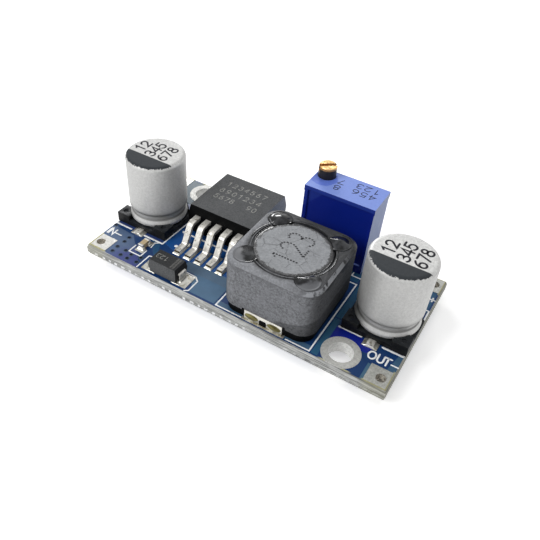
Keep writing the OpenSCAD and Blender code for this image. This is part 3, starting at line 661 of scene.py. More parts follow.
def tin_finish(name, near, far, bore_tone, roughness, wave=0.02, margin=0.0, pits=1.0):
    """Tinned copper: duller and grainier at the output end, and bare board in a margin at the board's edge."""
    made, place = new_finish(name)
    x, y, _ = place.axes()
    end = x.rise(AGED_FROM, AGED_FULL)
    spots = place.noise(3.0, 4.0, 0.7).rise(0.3, 0.65)
    tone = end.blend(near, far).tint(0.78 + 0.22 * spots)
    tone = tone.tint(1 + end * (place.noise(4.5, 3.0, 0.8) - 0.5) * (0.5 + 0.9 * pits))
    bore = abs(facing(place)[2]).rise(0.5, 0.2)
    pitted = place.noise(2.6, 3.0, 0.8).rise(0.54, 0.46) * (0.45 + 0.45 * end) * pits
    tone = bore.blend(tone, pitted.shade(bore_tone, 1, 0.22))
    reach = (abs(x) - EDGE_X).most(abs(y) - EDGE_Y) + (margin - 0.1 * end)
    outer = reach.rise(0.0, 0.05) * (1 if margin else 0)
    feed(made, "Base Color", outer.blend(tone, (0.36, 0.34, 0.18)))
    feed(made, "Metallic", 0.7 - (0.25 + 0.3 * (1 - pits)) * bore - 0.4 * outer)
    feed(made, "Roughness", roughness + 0.2 * place.noise(2.2) + 0.1 * end)
    relief(made, place.noise(1.6, 2.0) * wave * 2 + place.noise(7.0, 2.0) * wave * 0.25)
    return made


class CONVERTER_OT_finish_board(bpy.types.Operator):
    """Finish the solder mask, laminate edges, wire pads, rings and lands"""

    bl_idname = "converter.finish_board"
    bl_label = "Finish board"

    def execute(self, context):
        look = context.scene.converter_board
        dress(mask_finish(look), "circuit_board")
        collar, place = new_finish("Via collar", {"Roughness": 0.35, "Specular IOR Level": 0.3})
        patchy = place.noise(1.1, 2.0).rise(0.4, 0.6)
        feed(collar, "Base Color", patchy.blend((0.018, 0.050, 0.085), (0.05, 0.085, 0.15)))
        dress(collar, "via_collars")
        pads = tin_finish(
            "Tinned pad", Vector(look.pad) * 0.8, look.aged_pad, look.pad_bore, roughness=0.3, margin=0.25
        )
        dress(pads, "in_plus_pad", "in_minus_pad", "out_plus_pad", "out_minus_pad", "trimmer_pin_pads")
        # The ring is painted darker at the input end, as painted shade.
        ring = tin_finish(
            "Mounting ring", Vector(look.ring) * 0.48, look.ring, look.ring_bore, roughness=0.35, pits=0.25
        )
        dress(ring, "mounting_hole_rings")
        lands = tin_finish("Tinned land", look.pad, look.aged_pad, look.pad_bore, roughness=0.22, wave=0.03)
        dress(
            lands, "input_capacitor_lands", "output_capacitor_lands", "regulator_lands", "diode_lands",
            "inductor_lands", "ceramic_capacitor_lands", "feedback_resistor_lands",
        )
        return {"FINISHED"}


class CONVERTER_OT_print_board(bpy.types.Operator):
    """Print the white component outlines and the plain signs at the wire pads"""

    bl_idname = "converter.print_board"
    bl_label = "Print board"

    outlines = (
        ((-21.4, -3.6), (-21.4, -4.55), (-18.74, -4.55)),
        ((-16.56, -4.62), (-13.3, -4.62), (-13.06, 4.6), (-15.4, 4.75)),
        ((13.2, -4.6), (16.1, -4.6)),
        ((18.8, -4.72), (21.35, -4.72), (21.35, 3.9), (19.2, 3.9)),
        ((3.1, -10.0), (-0.9, -10.0), (-0.9, 3.15), (3.2, 3.15)),
        ((8.9, -10.0), (11.95, -10.0), (11.95, 3.15), (8.3, 3.15)),
        ((10.71, 5.05), (10.7, 4.42), (12.0, 4.42), (12.0, 10.1)),
        ((-12.2, -0.93), (-0.95, -0.93)),
        ((-16.05, -6.9), (-16.05, -8.3), (-14.15, -8.3), (-14.15, -7.0)),
        ((-14.1, -6.1), (-14.23, -5.1), (-13.75, -4.7)),
        ((-12.75, -7.45), (-13.2, -7.6), (-13.2, -10.15)),
        ((-7.2, -7.35), (-5.75, -7.4), (-5.1, -7.95), (-5.1, -9.9), (-5.55, -10.2)),
    )
    bold_lines = (
        ((13.2, -4.62), (16.05, -4.62)), ((18.85, -4.75), (21.3, -4.75)), ((-12.2, -0.95), (-0.95, -0.95)),
        ((-16.5, -4.64), (-13.35, -4.64)), ((-21.35, -4.57), (-18.8, -4.57)),
    )
    bold = 1.5
    guide_dots = ((-11.49, -3.96), (-12.39, -0.91))
    dot_r = 0.25
    # Text, start, height, spacing, weight and squeeze
    signs = (
        ("I", (-21.4, -6.97), 1.1, 1, 0.26, 1),
        ("N", (-20.9, -6.97), 1.12, 1, 0.26, 1),
        ("-", (-20.0, -7.0), 1.1, 1, 0.22, 1.45),
        ("O", (17.84, -7.05), 1.15, 1, 0.22, 1),
        ("UT", (18.95, -7.05), 1.15, 0.76, 0.22, 1),
        ("-", (20.62, -7.15), 1.1, 1, 0.2, 1.25),
        ("+", (20.72, 5.5), 1.15, 1, 0.2, 0.95),
        ("+", (-20.9, 6.0), 1.1, 1, 0.15, 1),
    )

    def execute(self, context):
        look = context.scene.converter_board
        made, place = new_finish("White print", {"Roughness": 0.55, "Specular IOR Level": 0.3})
        ink = place.noise(4.0, 3.0).rise(0.3, 0.55)
        feed(made, "Base Color", ink.shade(look.print_white, 0.78, 1))
        plan = face_plan((0, 0, BOARD_TOP))
        mesh = bmesh.new()
        for points in self.outlines:
            line(mesh, plan, points, look.line_width)
        for points in self.bold_lines:
            line(mesh, plan, points, look.line_width * self.bold, rise=0.025)
        for at in self.guide_dots:
            pillow(mesh, plan, at, (self.dot_r, self.dot_r), rise=0.03)
        for sign in self.signs:
            write_row(mesh, plan, *sign)
        new_piece("board_print", mesh, made)
        return {"FINISHED"}


class CONVERTER_OT_open_vias(bpy.types.Operator):
    """Put a dark disc of painted shade in each via's collar, where its open bore is"""

    bl_idname = "converter.open_vias"
    bl_label = "Open vias"

    bore_r = 0.22
    over_board = 0.05
    dip = -0.01

    def execute(self, context):
        fixed = {"Roughness": 0.6, "Specular IOR Level": 0.1}
        made, _ = speckled("Via bore shade", fixed, (0.002, 0.003, 0.008), (0.008, 0.012, 0.03), 6.0)
        plan = face_plan((0, 0, BOARD_TOP + self.over_board))
        mesh = bmesh.new()
        for centre in via_centres():
            pillow(mesh, plan, centre, (self.bore_r, self.bore_r), self.dip, rings=3, count=16)
        new_piece("via_bore_shades", mesh, made)
        return {"FINISHED"}


def via_centres():
    """The middle of each separate collar in the CAD node, in a fixed order."""
    mesh = bmesh.new()
    mesh.from_mesh(frame["nodes"]["via_collars"].data)
    bmesh.ops.remove_doubles(mesh, verts=mesh.verts, dist=1e-7)
    waiting, centres = set(mesh.verts), []
    while waiting:
        island, front = set(), [waiting.pop()]
        while front:
            vert = front.pop()
            island.add(vert)
            linked = {edge.other_vert(vert) for edge in vert.link_edges} & waiting
            waiting -= linked
            front.extend(linked)
        low = [min(v.co[i] for v in island) / MM for i in (0, 1)]
        high = [max(v.co[i] for v in island) / MM for i in (0, 1)]
        centres.append(((low[0] + high[0]) / 2, (low[1] + high[1]) / 2))
    mesh.free()
    return sorted(centres)


def solder_finish(name, look, age):
    """Solder, bright where it is clean and olive where flux has dried on it."""
    made, place = new_finish(name, {"Metallic": 1.05 - 0.4 * age})
    dull = place.noise(1.3, 2.0).rise(0.45, 0.7)
    flux = (place.noise(2.1, 2.0).rise(0.52, 0.66) * age + 0.35 * (age - 0.6)).least(0.9)
    tone = dull.shade(look.solder, 1, 0.62)
    feed(made, "Base Color", flux.blend(tone, (0.27, 0.24, 0.14)))
    feed(made, "Roughness", look.solder_roughness + 0.22 * dull)
    relief(made, place.noise(1.5, 1.0) * 0.02)
    return made


class CONVERTER_OT_solder_joints(bpy.types.Operator):
    """Run solder from each lead's foot over its land"""

    bl_idname = "converter.solder_joints"
    bl_label = "Solder joints"

    lead_count = 5
    lead_foot = 1.7
    lead_land = 2.92
    lead_margin = 0.145
    diode_land_x = 2.4
    diode_land_half = (1.1, 1.2)
    can_land = 3.6
    terminal_margin = 0.3
    terminal_reach = 0.12

    def execute(self, context):
        look = context.scene.converter_metal
        made = solder_finish("Solder", look, age=0.6)
        aged = solder_finish("Aged solder", look, age=1.6)
        new_piece("regulator_solder", self.on_regulator(), made)
        new_piece("diode_solder", self.on_diode(), made)
        new_piece("chip_solder", self.on_chips(), made)
        new_piece("capacitor_solder", self.on_capacitors(), made)
        new_piece("inductor_solder", self.on_inductor(), aged)
        return {"FINISHED"}

    def on_regulator(self):
        mesh = bmesh.new()
        first, last = place_of("regulator_lead_1"), place_of("regulator_lead_5")
        y0 = place_of("regulator_lands")[0].y
        pitch = (last[0].x - first[0].x) / (self.lead_count - 1)
        for i in range(self.lead_count):
            x0, x1 = first[0].x + i * pitch, first[1].x + i * pitch
            land = ((x0 - self.lead_margin, y0), (x1 + self.lead_margin, y0 + self.lead_land))
            solder_skin(mesh, land, ((x0, first[0].y), (x1, first[0].y + self.lead_foot)), wet=0.17)
        return mesh

    def on_diode(self):
        mesh = bmesh.new()
        half_x, half_y = self.diode_land_half
        for side, lead in ((-1, "diode_anode_lead"), (1, "diode_cathode_lead")):
            middle = DIODE.x + side * self.diode_land_x
            land = ((middle - half_x, DIODE.y - half_y), (middle + half_x, DIODE.y + half_y))
            solder_skin(mesh, land, plan_of(lead), wet=0.34, film=0.022, spread=0.19)
        return mesh

    def on_chips(self):
        mesh = bmesh.new()
        for node, size in (("ceramic_capacitor", 0.95), ("feedback_resistor", 0.9)):
            low, high = place_of(f"{node}_lands")
            for y0 in (low.y, high.y - size):
                land = ((low.x, y0), (high.x, y0 + size))
                solder_skin(mesh, land, plan_of(f"{node}_ends"), wet=0.35, spread=0.12)
        return mesh

    def on_capacitors(self):
        mesh = bmesh.new()
        for can in ("input_capacitor", "output_capacitor"):
            low, high = place_of(f"{can}_lands")
            for side, y0 in (("front", low.y), ("back", high.y - self.can_land)):
                land = ((low.x, y0), (high.x, y0 + self.can_land))
                solder_skin(mesh, land, plan_of(f"{can}_{side}_lead"), wet=0.2, spread=0.14)
        return mesh

    def on_inductor(self):
        """Solder along the foot of each terminal's outer face."""
        mesh = bmesh.new()
        for side, out in (("front", -1), ("back", 1)):
            low, high = place_of(f"inductor_{side}_terminal")
            foot = low.y if out < 0 else high.y
            tip = foot + out * self.terminal_reach
            y0, y1 = min(foot, tip) - 0.05, max(foot, tip) + 0.05
            land = ((low.x - self.terminal_margin, y0), (high.x + self.terminal_margin, y1))
            metal = ((low.x, foot - 0.02), (high.x, foot + 0.02))
            solder_skin(mesh, land, metal, wet=0.03, film=0.015, spread=0.1, step=0.05)
        return mesh


# Capacitors


CHORD = -1.3  # the dark segment's straight edge, from the can's middle
# The groove pressed into a can, its lower crease and its fold, all painted darker as painted shade: heights over the
# board
GROOVE = (1.9, 2.1, 3.0, 3.9)
CREASE = (1.85, 1.98, 2.1, 2.28)
TUCK = (2.6, 2.9, 3.0, 3.4)


def can_finish(name, look, centre, top, painted_wall_light, dull):
    """Matt aluminium, with the dark negative segment across the top's front and ragged over its rim; its groove is
    painted darker as painted shade, its walls painted lighter towards +X and +Y as painted light, and a dull can's
    top painted darker as painted shade.
    """
    made, place = new_finish(name, {"Specular IOR Level": 0.2})
    x, y, z = place.axes()
    side = facing(place)[2].rise(0.95, 0.5)
    grain = place.noise(3.6, 4.0, 0.8)
    cloud = place.noise(0.5, 2.0)
    groove, crease, tuck = (z.band(*(BOARD_TOP + height for height in part)) for part in (GROOVE, CREASE, TUCK))
    tone = grain.rise(0.25, 0.75).shade(look.can, 0.76, 1.16)
    across = ((x - centre.x) * 0.22 + (y - centre.y) * 0.12) * side
    # The walls are painted lighter towards +X and +Y as painted light; a dull can's top is painted darker as painted
    # shade, and made rougher further down.
    tone = tone.tint(1 + painted_wall_light * across - dull * (1 - side))
    tone = (side * (0.25 + cloud * 0.3)).blend(tone, Vector(look.can) * 0.80)
    # The groove, the crease and the fold are darkened as painted shade.
    tone = (groove * 0.6).blend(tone, Vector(look.can) * 0.6)
    tone = (crease.most(tuck * 0.75) * 0.8).blend(tone, Vector(look.can) * 0.25)
    ragged = place.noise(3.4, 2.0, 0.8)
    depth = (centre.y + CHORD - y).rise(-0.03, 0.03)
    upper = (z + ragged * 0.5).rise(top + 0.02, top + 0.09).most(z.rise(top - 0.07, top - 0.03))
    printed = depth * (z.rise(top - 0.34, top - 0.22) * upper)
    feed(made, "Base Color", printed.blend(tone, grain.blend((0.020, 0.023, 0.026), (0.050, 0.056, 0.062))))
    feed(made, "Metallic", 0.5 - printed * 0.5)
    feed(made, "Roughness", printed * 0.12 + look.can_roughness + 0.12 * grain + dull * 0.7 * (1 - side))
    relief(made, grain * 0.006 + place.noise(14.0, 2.0) * 0.004 + printed * 0.01)
    return made


class CONVERTER_OT_finish_capacitors(bpy.types.Operator):
    """Finish the cans, their bases and leads, and print plain numbers on the tops"""

    bl_idname = "converter.finish_capacitors"
    bl_label = "Finish capacitors"

    rows = (("12", -0.65), ("345", -1.0), ("678", -1.0))
    row_pitch = 1.93
    # Name, middle, place of the rows, painted light across the walls, and dullness of the top, which also paints
    # shade on it
    cans = (("input", INPUT_CAN, -2.0, 0.18, 0.2), ("output", OUTPUT_CAN, -1.5, 0.3, 0.0))

    def execute(self, context):
        look, bodies = context.scene.converter_metal, context.scene.converter_body
        base, place = new_finish("Base plastic", {"Specular IOR Level": 0.16})
        scuff = place.noise(1.4, 4.0, 0.65).rise(0.5, 0.8)
        x_out, _, z_out = facing(place)
        # The top and the faces towards -X are painted lighter as painted light, and the slanted edges get a painted
        # highlight.
        rubbed = (z_out.rise(0.3, 0.9) * 0.6).most(x_out.rise(-0.4, -0.9) * 0.8)
        edge_highlight = z_out.band(0.25, 0.6, 0.8, 0.97)
        tone = (scuff * 0.5).blend(Vector(bodies.base) * 0.5, (0.04, 0.042, 0.046))
        tone = rubbed.blend(tone, scuff.blend((0.020, 0.023, 0.027), (0.052, 0.057, 0.064)))
        feed(base, "Base Color", (edge_highlight * 0.8).blend(tone, (0.11, 0.115, 0.125)))
        feed(base, "Roughness", 0.32 + 0.25 * place.noise(3.0))
        relief(base, place.noise(6.0, 3.0) * 0.02)
        ink, place = new_finish("Can ink", {"Roughness": 0.6, "Specular IOR Level": 0.1})
        feed(ink, "Base Color", place.noise(7.0).shade(look.ink, 0.6, 2.2))
        for name, centre, first, painted_wall_light, dull in self.cans:
            top = place_of(f"{name}_capacitor_can")[1].z
            dress(can_finish(f"{name.title()} can", look, centre, top, painted_wall_light, dull), f"{name}_capacitor_can")
            dress(base, f"{name}_capacitor_base")
            soften(0.09, f"{name}_capacitor_base")
            plan = face_plan((centre.x, centre.y, top), (0, 1, 0), (-1, 0, 0))
            mesh = bmesh.new()
            for i, (text, start) in enumerate(self.rows):
                at = (start, -first - 0.35 - self.row_pitch * i)
                write_row(mesh, plan, text, at, height=1.42, spacing=1.17, weight=0.26, squeeze=1.02)
            new_piece(f"{name}_can_marks", mesh, ink)
        lead = lead_finish("Tinned lead", look)
        dress(lead, *(f"{end}_capacitor_{side}_lead" for end in ("input", "output") for side in ("front", "back")))
        return {"FINISHED"}


def lead_finish(name, look, cut_y=None):
    """Tinned lead: satin, with tool marks, and bare copper on a cut end that stands at a given place."""
    made, place = new_finish(name, {"Metallic": 0.55})
    y = place.axes()[1]
    marks = place.noise(2.2, 3.0, 0.7).rise(0.55, 0.64)
    smear = place.stretch(2.5, 0.8, 0.8).noise(1.0, 2.0)
    tone = smear.rise(0.3, 0.7).shade(look.lead, 0.72, 1.12)
    tone = (marks * 0.75).blend(tone, (0.15, 0.13, 0.095))
    if cut_y is not None:
        cut = y.rise(cut_y + 0.06, cut_y + 0.03)
        tone = cut.blend(tone, (0.085, 0.062, 0.028))
    feed(made, "Base Color", tone)
    feed(made, "Roughness", 0.27 + 0.12 * smear + 0.15 * marks)
    relief(made, smear * 0.012 - marks * 0.008)
    return made


# Regulator, diode and chips


def moulded_finish(name, bodies, top, front, end):
    """Moulded grey epoxy with a fine matt grain, whose top, front and +X end have their own share of grey: painted
    light and shade.
    """
    made, place = new_finish(name, {"Specular IOR Level": 0.03})
    grain = place.noise(6.0, 3.0, 0.7)
    cloud = place.noise(0.6, 2.0)
    x_out, y_out, z_out = facing(place)
    tone = grain.rise(0.3, 0.72).shade(bodies.moulded, 0.75, 1.3)
    # Each face's share of grey, by the way it faces, is painted light and shade.
    ends = x_out * x_out * (1 + (end - 1) * x_out.rise(-0.2, 0.2))
    sides = y_out * y_out * (0.8 + (front - 0.8) * y_out.rise(0.2, -0.2))
    depth = z_out * z_out * top + sides + ends
    feed(made, "Base Color", tone.tint(depth * (0.85 + 0.3 * cloud)))
    feed(made, "Roughness", 0.42 + 0.16 * grain)
    relief(made, grain * 0.014 + place.noise(20.0, 1.0) * 0.006)
    return made


def etched_finish(bodies):
    """Marks cut into a moulded body, worn to a paler grey."""
    made, place = new_finish("Etched mark", {"Roughness": 0.7, "Specular IOR Level": 0.2})
    worn = place.noise(5.0, 3.0, 0.7).rise(0.35, 0.65)
    feed(made, "Base Color", worn.shade(bodies.etched, 0.5, 1))
    return made


class CONVERTER_OT_finish_regulator(bpy.types.Operator):
    """Finish the regulator's body, leads and tab, with plain counting numbers on top"""

    bl_idname = "converter.finish_regulator"
    bl_label = "Finish regulator"

    # Text, start, height, spacing
    rows = (
        ("1234567", (-10.35, 6.55), 0.86, 0.95),
        ("8901234", (-10.45, 4.8), 0.9, 0.98),
        ("5678", (-10.4, 3.25), 0.86, 0.84),
        ("90", (-5.2, 3.25), 0.86, 0.84),
    )

    def execute(self, context):
        bodies = context.scene.converter_body
        # Its top is painted lighter, its front almost black and its +X end much lighter, as painted light and shade.
        dress(moulded_finish("Regulator body", bodies, top=1.40, front=0.03, end=4.5), "regulator_body")
        soften(0.09, "regulator_body")
        leads = ("regulator_heat_tab", *(f"regulator_lead_{i}" for i in (1, 2, 4, 5)))
        soften(0.05, *leads)
        lead = lead_finish("Cut lead", context.scene.converter_metal, place_of("regulator_lead_1")[0].y)
        dress(lead, *leads)
        top = place_of("regulator_body")[1].z
        plan = face_plan((0, 0, top))
        mesh = bmesh.new()
        for row in self.rows:
            write_row(mesh, plan, *row, weight=0.12)
        new_piece("regulator_marks", mesh, etched_finish(bodies))
        return {"FINISHED"}


class CONVERTER_OT_finish_small_parts(bpy.types.Operator):
    """Finish the diode, the ceramic capacitor and the feedback resistor"""

    bl_idname = "converter.finish_small_parts"
    bl_label = "Finish small parts"

    band_x = (1.0, 1.35)
    band_size = (0.27, 2.1)

    def execute(self, context):
        bodies = context.scene.converter_body
        # The diode's top is painted darker, its front lighter and its end darker, as painted light and shade.
        made = moulded_finish("Diode body", bodies, top=0.75, front=1.7, end=0.5)
        dress(made, "diode_body", "feedback_resistor_body")
        soften(0.07, "diode_body")
        soften(0.03, "diode_anode_lead", "diode_cathode_lead")
        soften(0.04, "ceramic_capacitor_ends", "feedback_resistor_ends")
        dress(bpy.data.materials["Tinned lead"], "diode_anode_lead", "diode_cathode_lead")
        top = place_of("diode_body")[1].z
        mesh = bmesh.new()
        plan = face_plan((DIODE.x, DIODE.y, top), (-1, 0, 0), (0, -1, 0))
        write_row(mesh, plan, "123", (0.0, -0.42), height=0.72, spacing=0.62, weight=0.09)
        new_piece("diode_marks", mesh, etched_finish(bodies))
        band, place = new_finish("Frosted band", {"Roughness": 0.6, "Specular IOR Level": 0.15})
        worn = place.noise(7.0, 2.0).rise(0.35, 0.65)
        feed(band, "Base Color", worn.blend((0.055, 0.055, 0.055), (0.125, 0.125, 0.12)))
        mesh = bmesh.new()
        wide, long = self.band_size
        for x in self.band_x:
            edge = face_plan((DIODE.x + x, DIODE.y - long / 2, top))
            flat_face(mesh, edge, ((0, 0), (wide, 0), (wide, long), (0, long)), 0.008)
        new_piece("diode_band", mesh, band)
        ceramic, place = speckled("Ceramic", {"Specular IOR Level": 0.4}, (0.40, 0.30, 0.17), (0.60, 0.49, 0.31), 8.0)
        feed(ceramic, "Roughness", 0.45 + 0.2 * place.noise(8.0))
        dress(ceramic, "ceramic_capacitor_body")
        ends, place = speckled("Chip end", {"Metallic": 0.9}, (0.55, 0.54, 0.5), (0.85, 0.84, 0.8), 6.0)
        feed(ends, "Roughness", 0.25 + 0.2 * place.noise(6.0))
        dress(ends, "ceramic_capacitor_ends", "feedback_resistor_ends")
        return {"FINISHED"}


# Inductor


def ferrite_finish(bodies):
    """Fired ferrite: matt grey with fine pits and dust, under a smooth film that runs over its upper edge; darker
    towards the bottom, with its ±X faces and the film's far side painted darker as painted shade.
    """
    made, place = new_finish("Ferrite", {"Specular IOR Level": 0.15})
    x, y, z = place.axes()
    top = place_of("inductor_shield")[1].z
    x_out, _, z_out = facing(place)
    grey = Vector(bodies.ferrite)
    grain = place.noise(3.2, 4.0, 0.8)
    cloud = place.noise(0.6, 3.0, 0.6)
    pits = place.cells(3.4).rise(0.16, 0.06) * place.noise(1.1).rise(0.42, 0.58)
    tone = grain.rise(0.32, 0.68).shade(grey, 0.57, 1.56)
    tone = (cloud.rise(0.42, 0.66) * 0.5).blend(tone, grey * 1.35)
    tone = (pits * 0.75).blend(tone, grey * 0.3)
    # The faces towards ±X are darkened as painted shade.
    side_shade = abs(x_out).rise(0.45, 0.98) * 0.6
    # Darker towards the bottom.
    low_darkening = z.rise(BOARD_TOP + 3.2, BOARD_TOP + 1.4) * 0.22
    hem = top - 0.45 - 1.3 * place.stretch(1, 1, 0).noise(0.22, 2.0).rise(0.45, 0.75)
    film = (z - hem).rise(-0.06, 0.06)
    seep = (x - INDUCTOR.x) * 0.35 + 1.2 * place.noise(0.35, 2.0) + BOARD_TOP
    wet = (z - seep).rise(1.0, 0.9) * (x - INDUCTOR.x).rise(1.0, 2.5)
    cast = place.noise(4.2, 3.0, 0.75).rise(0.3, 0.7).shade(grey, 1.08, 1.83)
    tone = (film * 0.8).blend(tone.tint((1 - side_shade) * (1 - low_darkening) * (1 - 0.45 * wet)), cast)
    # The film is darkened as painted shade on its faces that turn from the top, towards its far +X+Y side and near
    # the drum's opening.
    far = (x - INDUCTOR.x + y - INDUCTOR.y).rise(-8.5, 4.0)
    away = from_axis(x, y, INDUCTOR) + 0.5 * (place.noise(0.8, 3.0) - 0.5)
    dark = film * (z_out.rise(0.7, 0.3) * 0.35).most(far * 1.13 - 0.3).most(away.rise(5.9, 5.2) * 0.55)
    worn = x_out.band(0.12, 0.3, 0.7, 0.95) * z_out.rise(0.2, 0.4)
    worn = worn * y.rise(INDUCTOR.y + 4, INDUCTOR.y - 1) * place.noise(1.6, 3.0).rise(0.34, 0.5) * 0.8
    feed(made, "Base Color", worn.blend(tone.tint(1 - dark), grey * 2.2))
    feed(made, "Roughness", 0.5 + 0.2 * grain - film * 0.15)
    relief(made, (grain * 0.04 - pits * 0.05) * (1 - film * 0.7) + cloud * 0.05 + film * 0.04)
    return made


RUBBED_R = 4.22  # the drum's top is rubbed pale inside this radius
GAP_SHADE_R = 4.56  # and the gap round it is painted near-black outside this one, as painted shade
GAP_SHADE_SHIFT = Vector((0.12, 0.17, 0))


def drum_finish(bodies):
    """Drum core: its top is rubbed pale to an irregular line, with a dark glazed rim outside it, and painted shade in
    the gap off its edge towards +X+Y.
    """
    made, place = new_finish("Drum core", {"Specular IOR Level": 0.3})
    x, y, _ = place.axes()
    away = from_axis(x, y, INDUCTOR)
    rim = (away + 1.3 * (place.noise(1.6, 6.0, 0.8) - 0.5)).rise(RUBBED_R, RUBBED_R + 0.08)
    grain = place.noise(3.5, 4.0, 0.75)
    cloud = place.noise(0.8, 3.0, 0.6)
    pale = Vector(bodies.drum)
    tone = grain.rise(0.3, 0.7).shade(pale, 0.8, 1.16)
    tone = (cloud.rise(0.42, 0.68) * 0.4).blend(tone, pale * 0.7)
    hair = place.cells(0.5, "DISTANCE_TO_EDGE").rise(0.022, 0.006) * place.noise(0.9).rise(0.46, 0.53)
    tone = (hair * 0.6).blend(tone, pale * 0.35)
    # A crescent at the drum's +X+Y edge is painted near-black as painted shade.
    gap = from_axis(x, y, INDUCTOR - GAP_SHADE_SHIFT).rise(GAP_SHADE_R, GAP_SHADE_R + 0.08)
    glaze = place.noise(1.3, 3.0).rise(0.4, 0.6).shade(bodies.ferrite, 0.14, 0.38)
    feed(made, "Base Color", gap.blend(rim.blend(tone, glaze), (0.004, 0.004, 0.005)))
    feed(made, "Roughness", 0.55 - rim * 0.3 + 0.1 * grain)
    feed(made, "Coat Weight", rim * 0.5)
    relief(made, grain * 0.015 - hair * 0.02 - rim * 0.03 + place.noise(1.6) * rim * 0.08)
    return made


class CONVERTER_OT_finish_inductor(bpy.types.Operator):
    """Finish the ferrite and terminals, and set glossy adhesive in the pockets round the drum"""

    bl_idname = "converter.finish_inductor"
    bl_label = "Finish inductor"

    drum_r = 4.8
    opening_r = 4.95
    pocket_r = 1.25
    pocket_reach = 5.6
    sign_height = 3.3
    sign_pitch = 2.05
    pool_rise = (0.36, 0.32, 0.08, 0.31)
    pool_floor = 6.2
    slot_x = 1.53
    slot_height = 0.66
    post_x = 2.74
    clearance = 0.02
    film_sink = 0.03

    def execute(self, context):
        bodies = context.scene.converter_body
        dress(ferrite_finish(bodies), "inductor_shield")
        soften(0.14, "inductor_shield")
        dress(drum_finish(bodies), "inductor_core")
        glue, place = new_finish("Dark glue", {"Specular IOR Level": 0.22, "Coat Roughness": 0.04})
        haze = place.noise(1.0, 2.0)
        x, y, _ = place.axes()
        thin = (from_axis(x, y, INDUCTOR) + 0.9 * (haze - 0.5)).rise(5.75, 6.35)
        thin = thin * (y - INDUCTOR.y).rise(0.0, -1.0)
        tone = haze.rise(0.35, 0.65).blend(Vector(bodies.glue) * 0.4, (0.022, 0.024, 0.028))
        feed(glue, "Base Color", (thin * 0.8).blend(tone, Vector(bodies.ferrite) * 0.95))
        feed(glue, "Roughness", 0.09 + 0.06 * haze + 0.3 * thin)
        feed(glue, "Coat Weight", (0.1 + 0.35 * haze.rise(0.45, 0.6)) * (1 - thin))
        relief(glue, place.noise(0.8, 1.0) * 0.03)
        pockets = bmesh.new()
        for turn in range(4):
            self.pocket(pockets, math.radians(45 + 90 * turn), turn)
        dome = new_piece("pocket_glue", pockets, glue)
        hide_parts("inductor_glue")
        ring = bmesh.new()
        self.bead(ring)
        new_piece("drum_glue_bead", ring, glue)
        # The base under the shield gets a darker copy of the base black, as painted shade.
        shaded, place = new_finish("Shaded inductor base plastic", {"Roughness": 0.5, "Specular IOR Level": 0.03})
        feed(shaded, "Base Color", place.noise(2.0).shade(bodies.base, 0.15, 0.5))
        dress(shaded, "inductor_base")
        self.signs()
        self.terminals(context)
        winding, place = new_finish("Enamelled copper", {"Metallic": 0.8, "Roughness": 0.3})
        layers = place.stretch(0, 0, 1).noise(9.0, 1.0)
        feed(winding, "Base Color", layers.blend((0.30, 0.10, 0.04), (0.62, 0.28, 0.12)))
        dress(winding, "inductor_winding")
        return {"FINISHED"}

    def pocket(self, mesh, turn, seed):
        """A domed pool of adhesive that fills its pocket and creeps over the rim in a thin film."""
        centre = ray_at(turn) * self.pocket_reach
        rim_z = place_of("inductor_shield")[1].z
        middle = Vector((INDUCTOR.x, INDUCTOR.y, 0))
        columns = []
        for a in turns(48):
            ray = ray_at(a)
            wall, edge_z = self.pocket_r - self.clearance, rim_z + 0.01
            film = 0.34 + 0.12 * wander(ray.x, ray.y, seed)
            along = centre.dot(ray)
            inner = along**2 - centre.length_squared + (self.drum_r - 0.1) ** 2
            if inner > 0 and along < 0 and -along - math.sqrt(inner) < wall:
                wall, film, edge_z = -along - math.sqrt(inner), 0.01, rim_z - 0.08
            column = []
            for part in steps(0.001, 1.0, 11):
                swell = self.pool_rise[seed] * (1 - part**2) ** 1.3 + (edge_z - rim_z) * part**4
                flat = centre + ray * wall * part
                column.append((*flat, rim_z + swell + 0.02 * wander(flat.x, flat.y, seed, 0.9)))
            for part, lift in ((0.35, 0.02), (0.75, 0.085), (1.0, 0.022)):
                column.append((*(centre + ray * (wall + film * part)), edge_z - self.film_sink + lift))
            inside = centre + ray * (wall - self.clearance)
            column += [(*inside, edge_z - self.film_sink), (*inside, self.pool_floor)]
            columns.append([Vector(point) + middle for point in reversed(column)])
        sheet_of(mesh, list(zip(*columns)), wrap=True)

    def bead(self, mesh):
        """A ring of adhesive in the gap round the drum, which ends in a low ridge on the shield."""
        middle = (self.drum_r + self.opening_r) / 2
        drum_top, rim_z = place_of("inductor_core")[1].z, place_of("inductor_shield")[1].z
        rows = []
        for a in turns(180):
            ray = ray_at(a)
            full = min(1.0, 0.7 - 0.7 * math.cos(a - math.radians(60)))
            sway = 0.08 * wander(ray.x, ray.y, 3.0, 2.4)
            ridge = (0.06 + 0.05 * wander(ray.x, ray.y, 7.0, 3.0)) * full
            valley = drum_top - 0.05 - 0.5 * (1 - full)
            section = (
                (-0.22, drum_top - 0.02), (-0.14, drum_top + 0.03 * full), (-0.05, valley), (0.06, valley),
                (0.17, rim_z - 0.01), (0.27 + sway, rim_z + ridge), (0.36 + sway, rim_z + ridge * 0.8),
                (0.46 + sway, rim_z - 0.02),
            )
            flat = [Vector((INDUCTOR.x, INDUCTOR.y)) + ray * (middle + out) for out, _ in section]
            rows.append([Vector((*at, z)) for at, (_, z) in zip(flat, section)])
        rows.append(rows[0])
        sheet_of(mesh, rows)

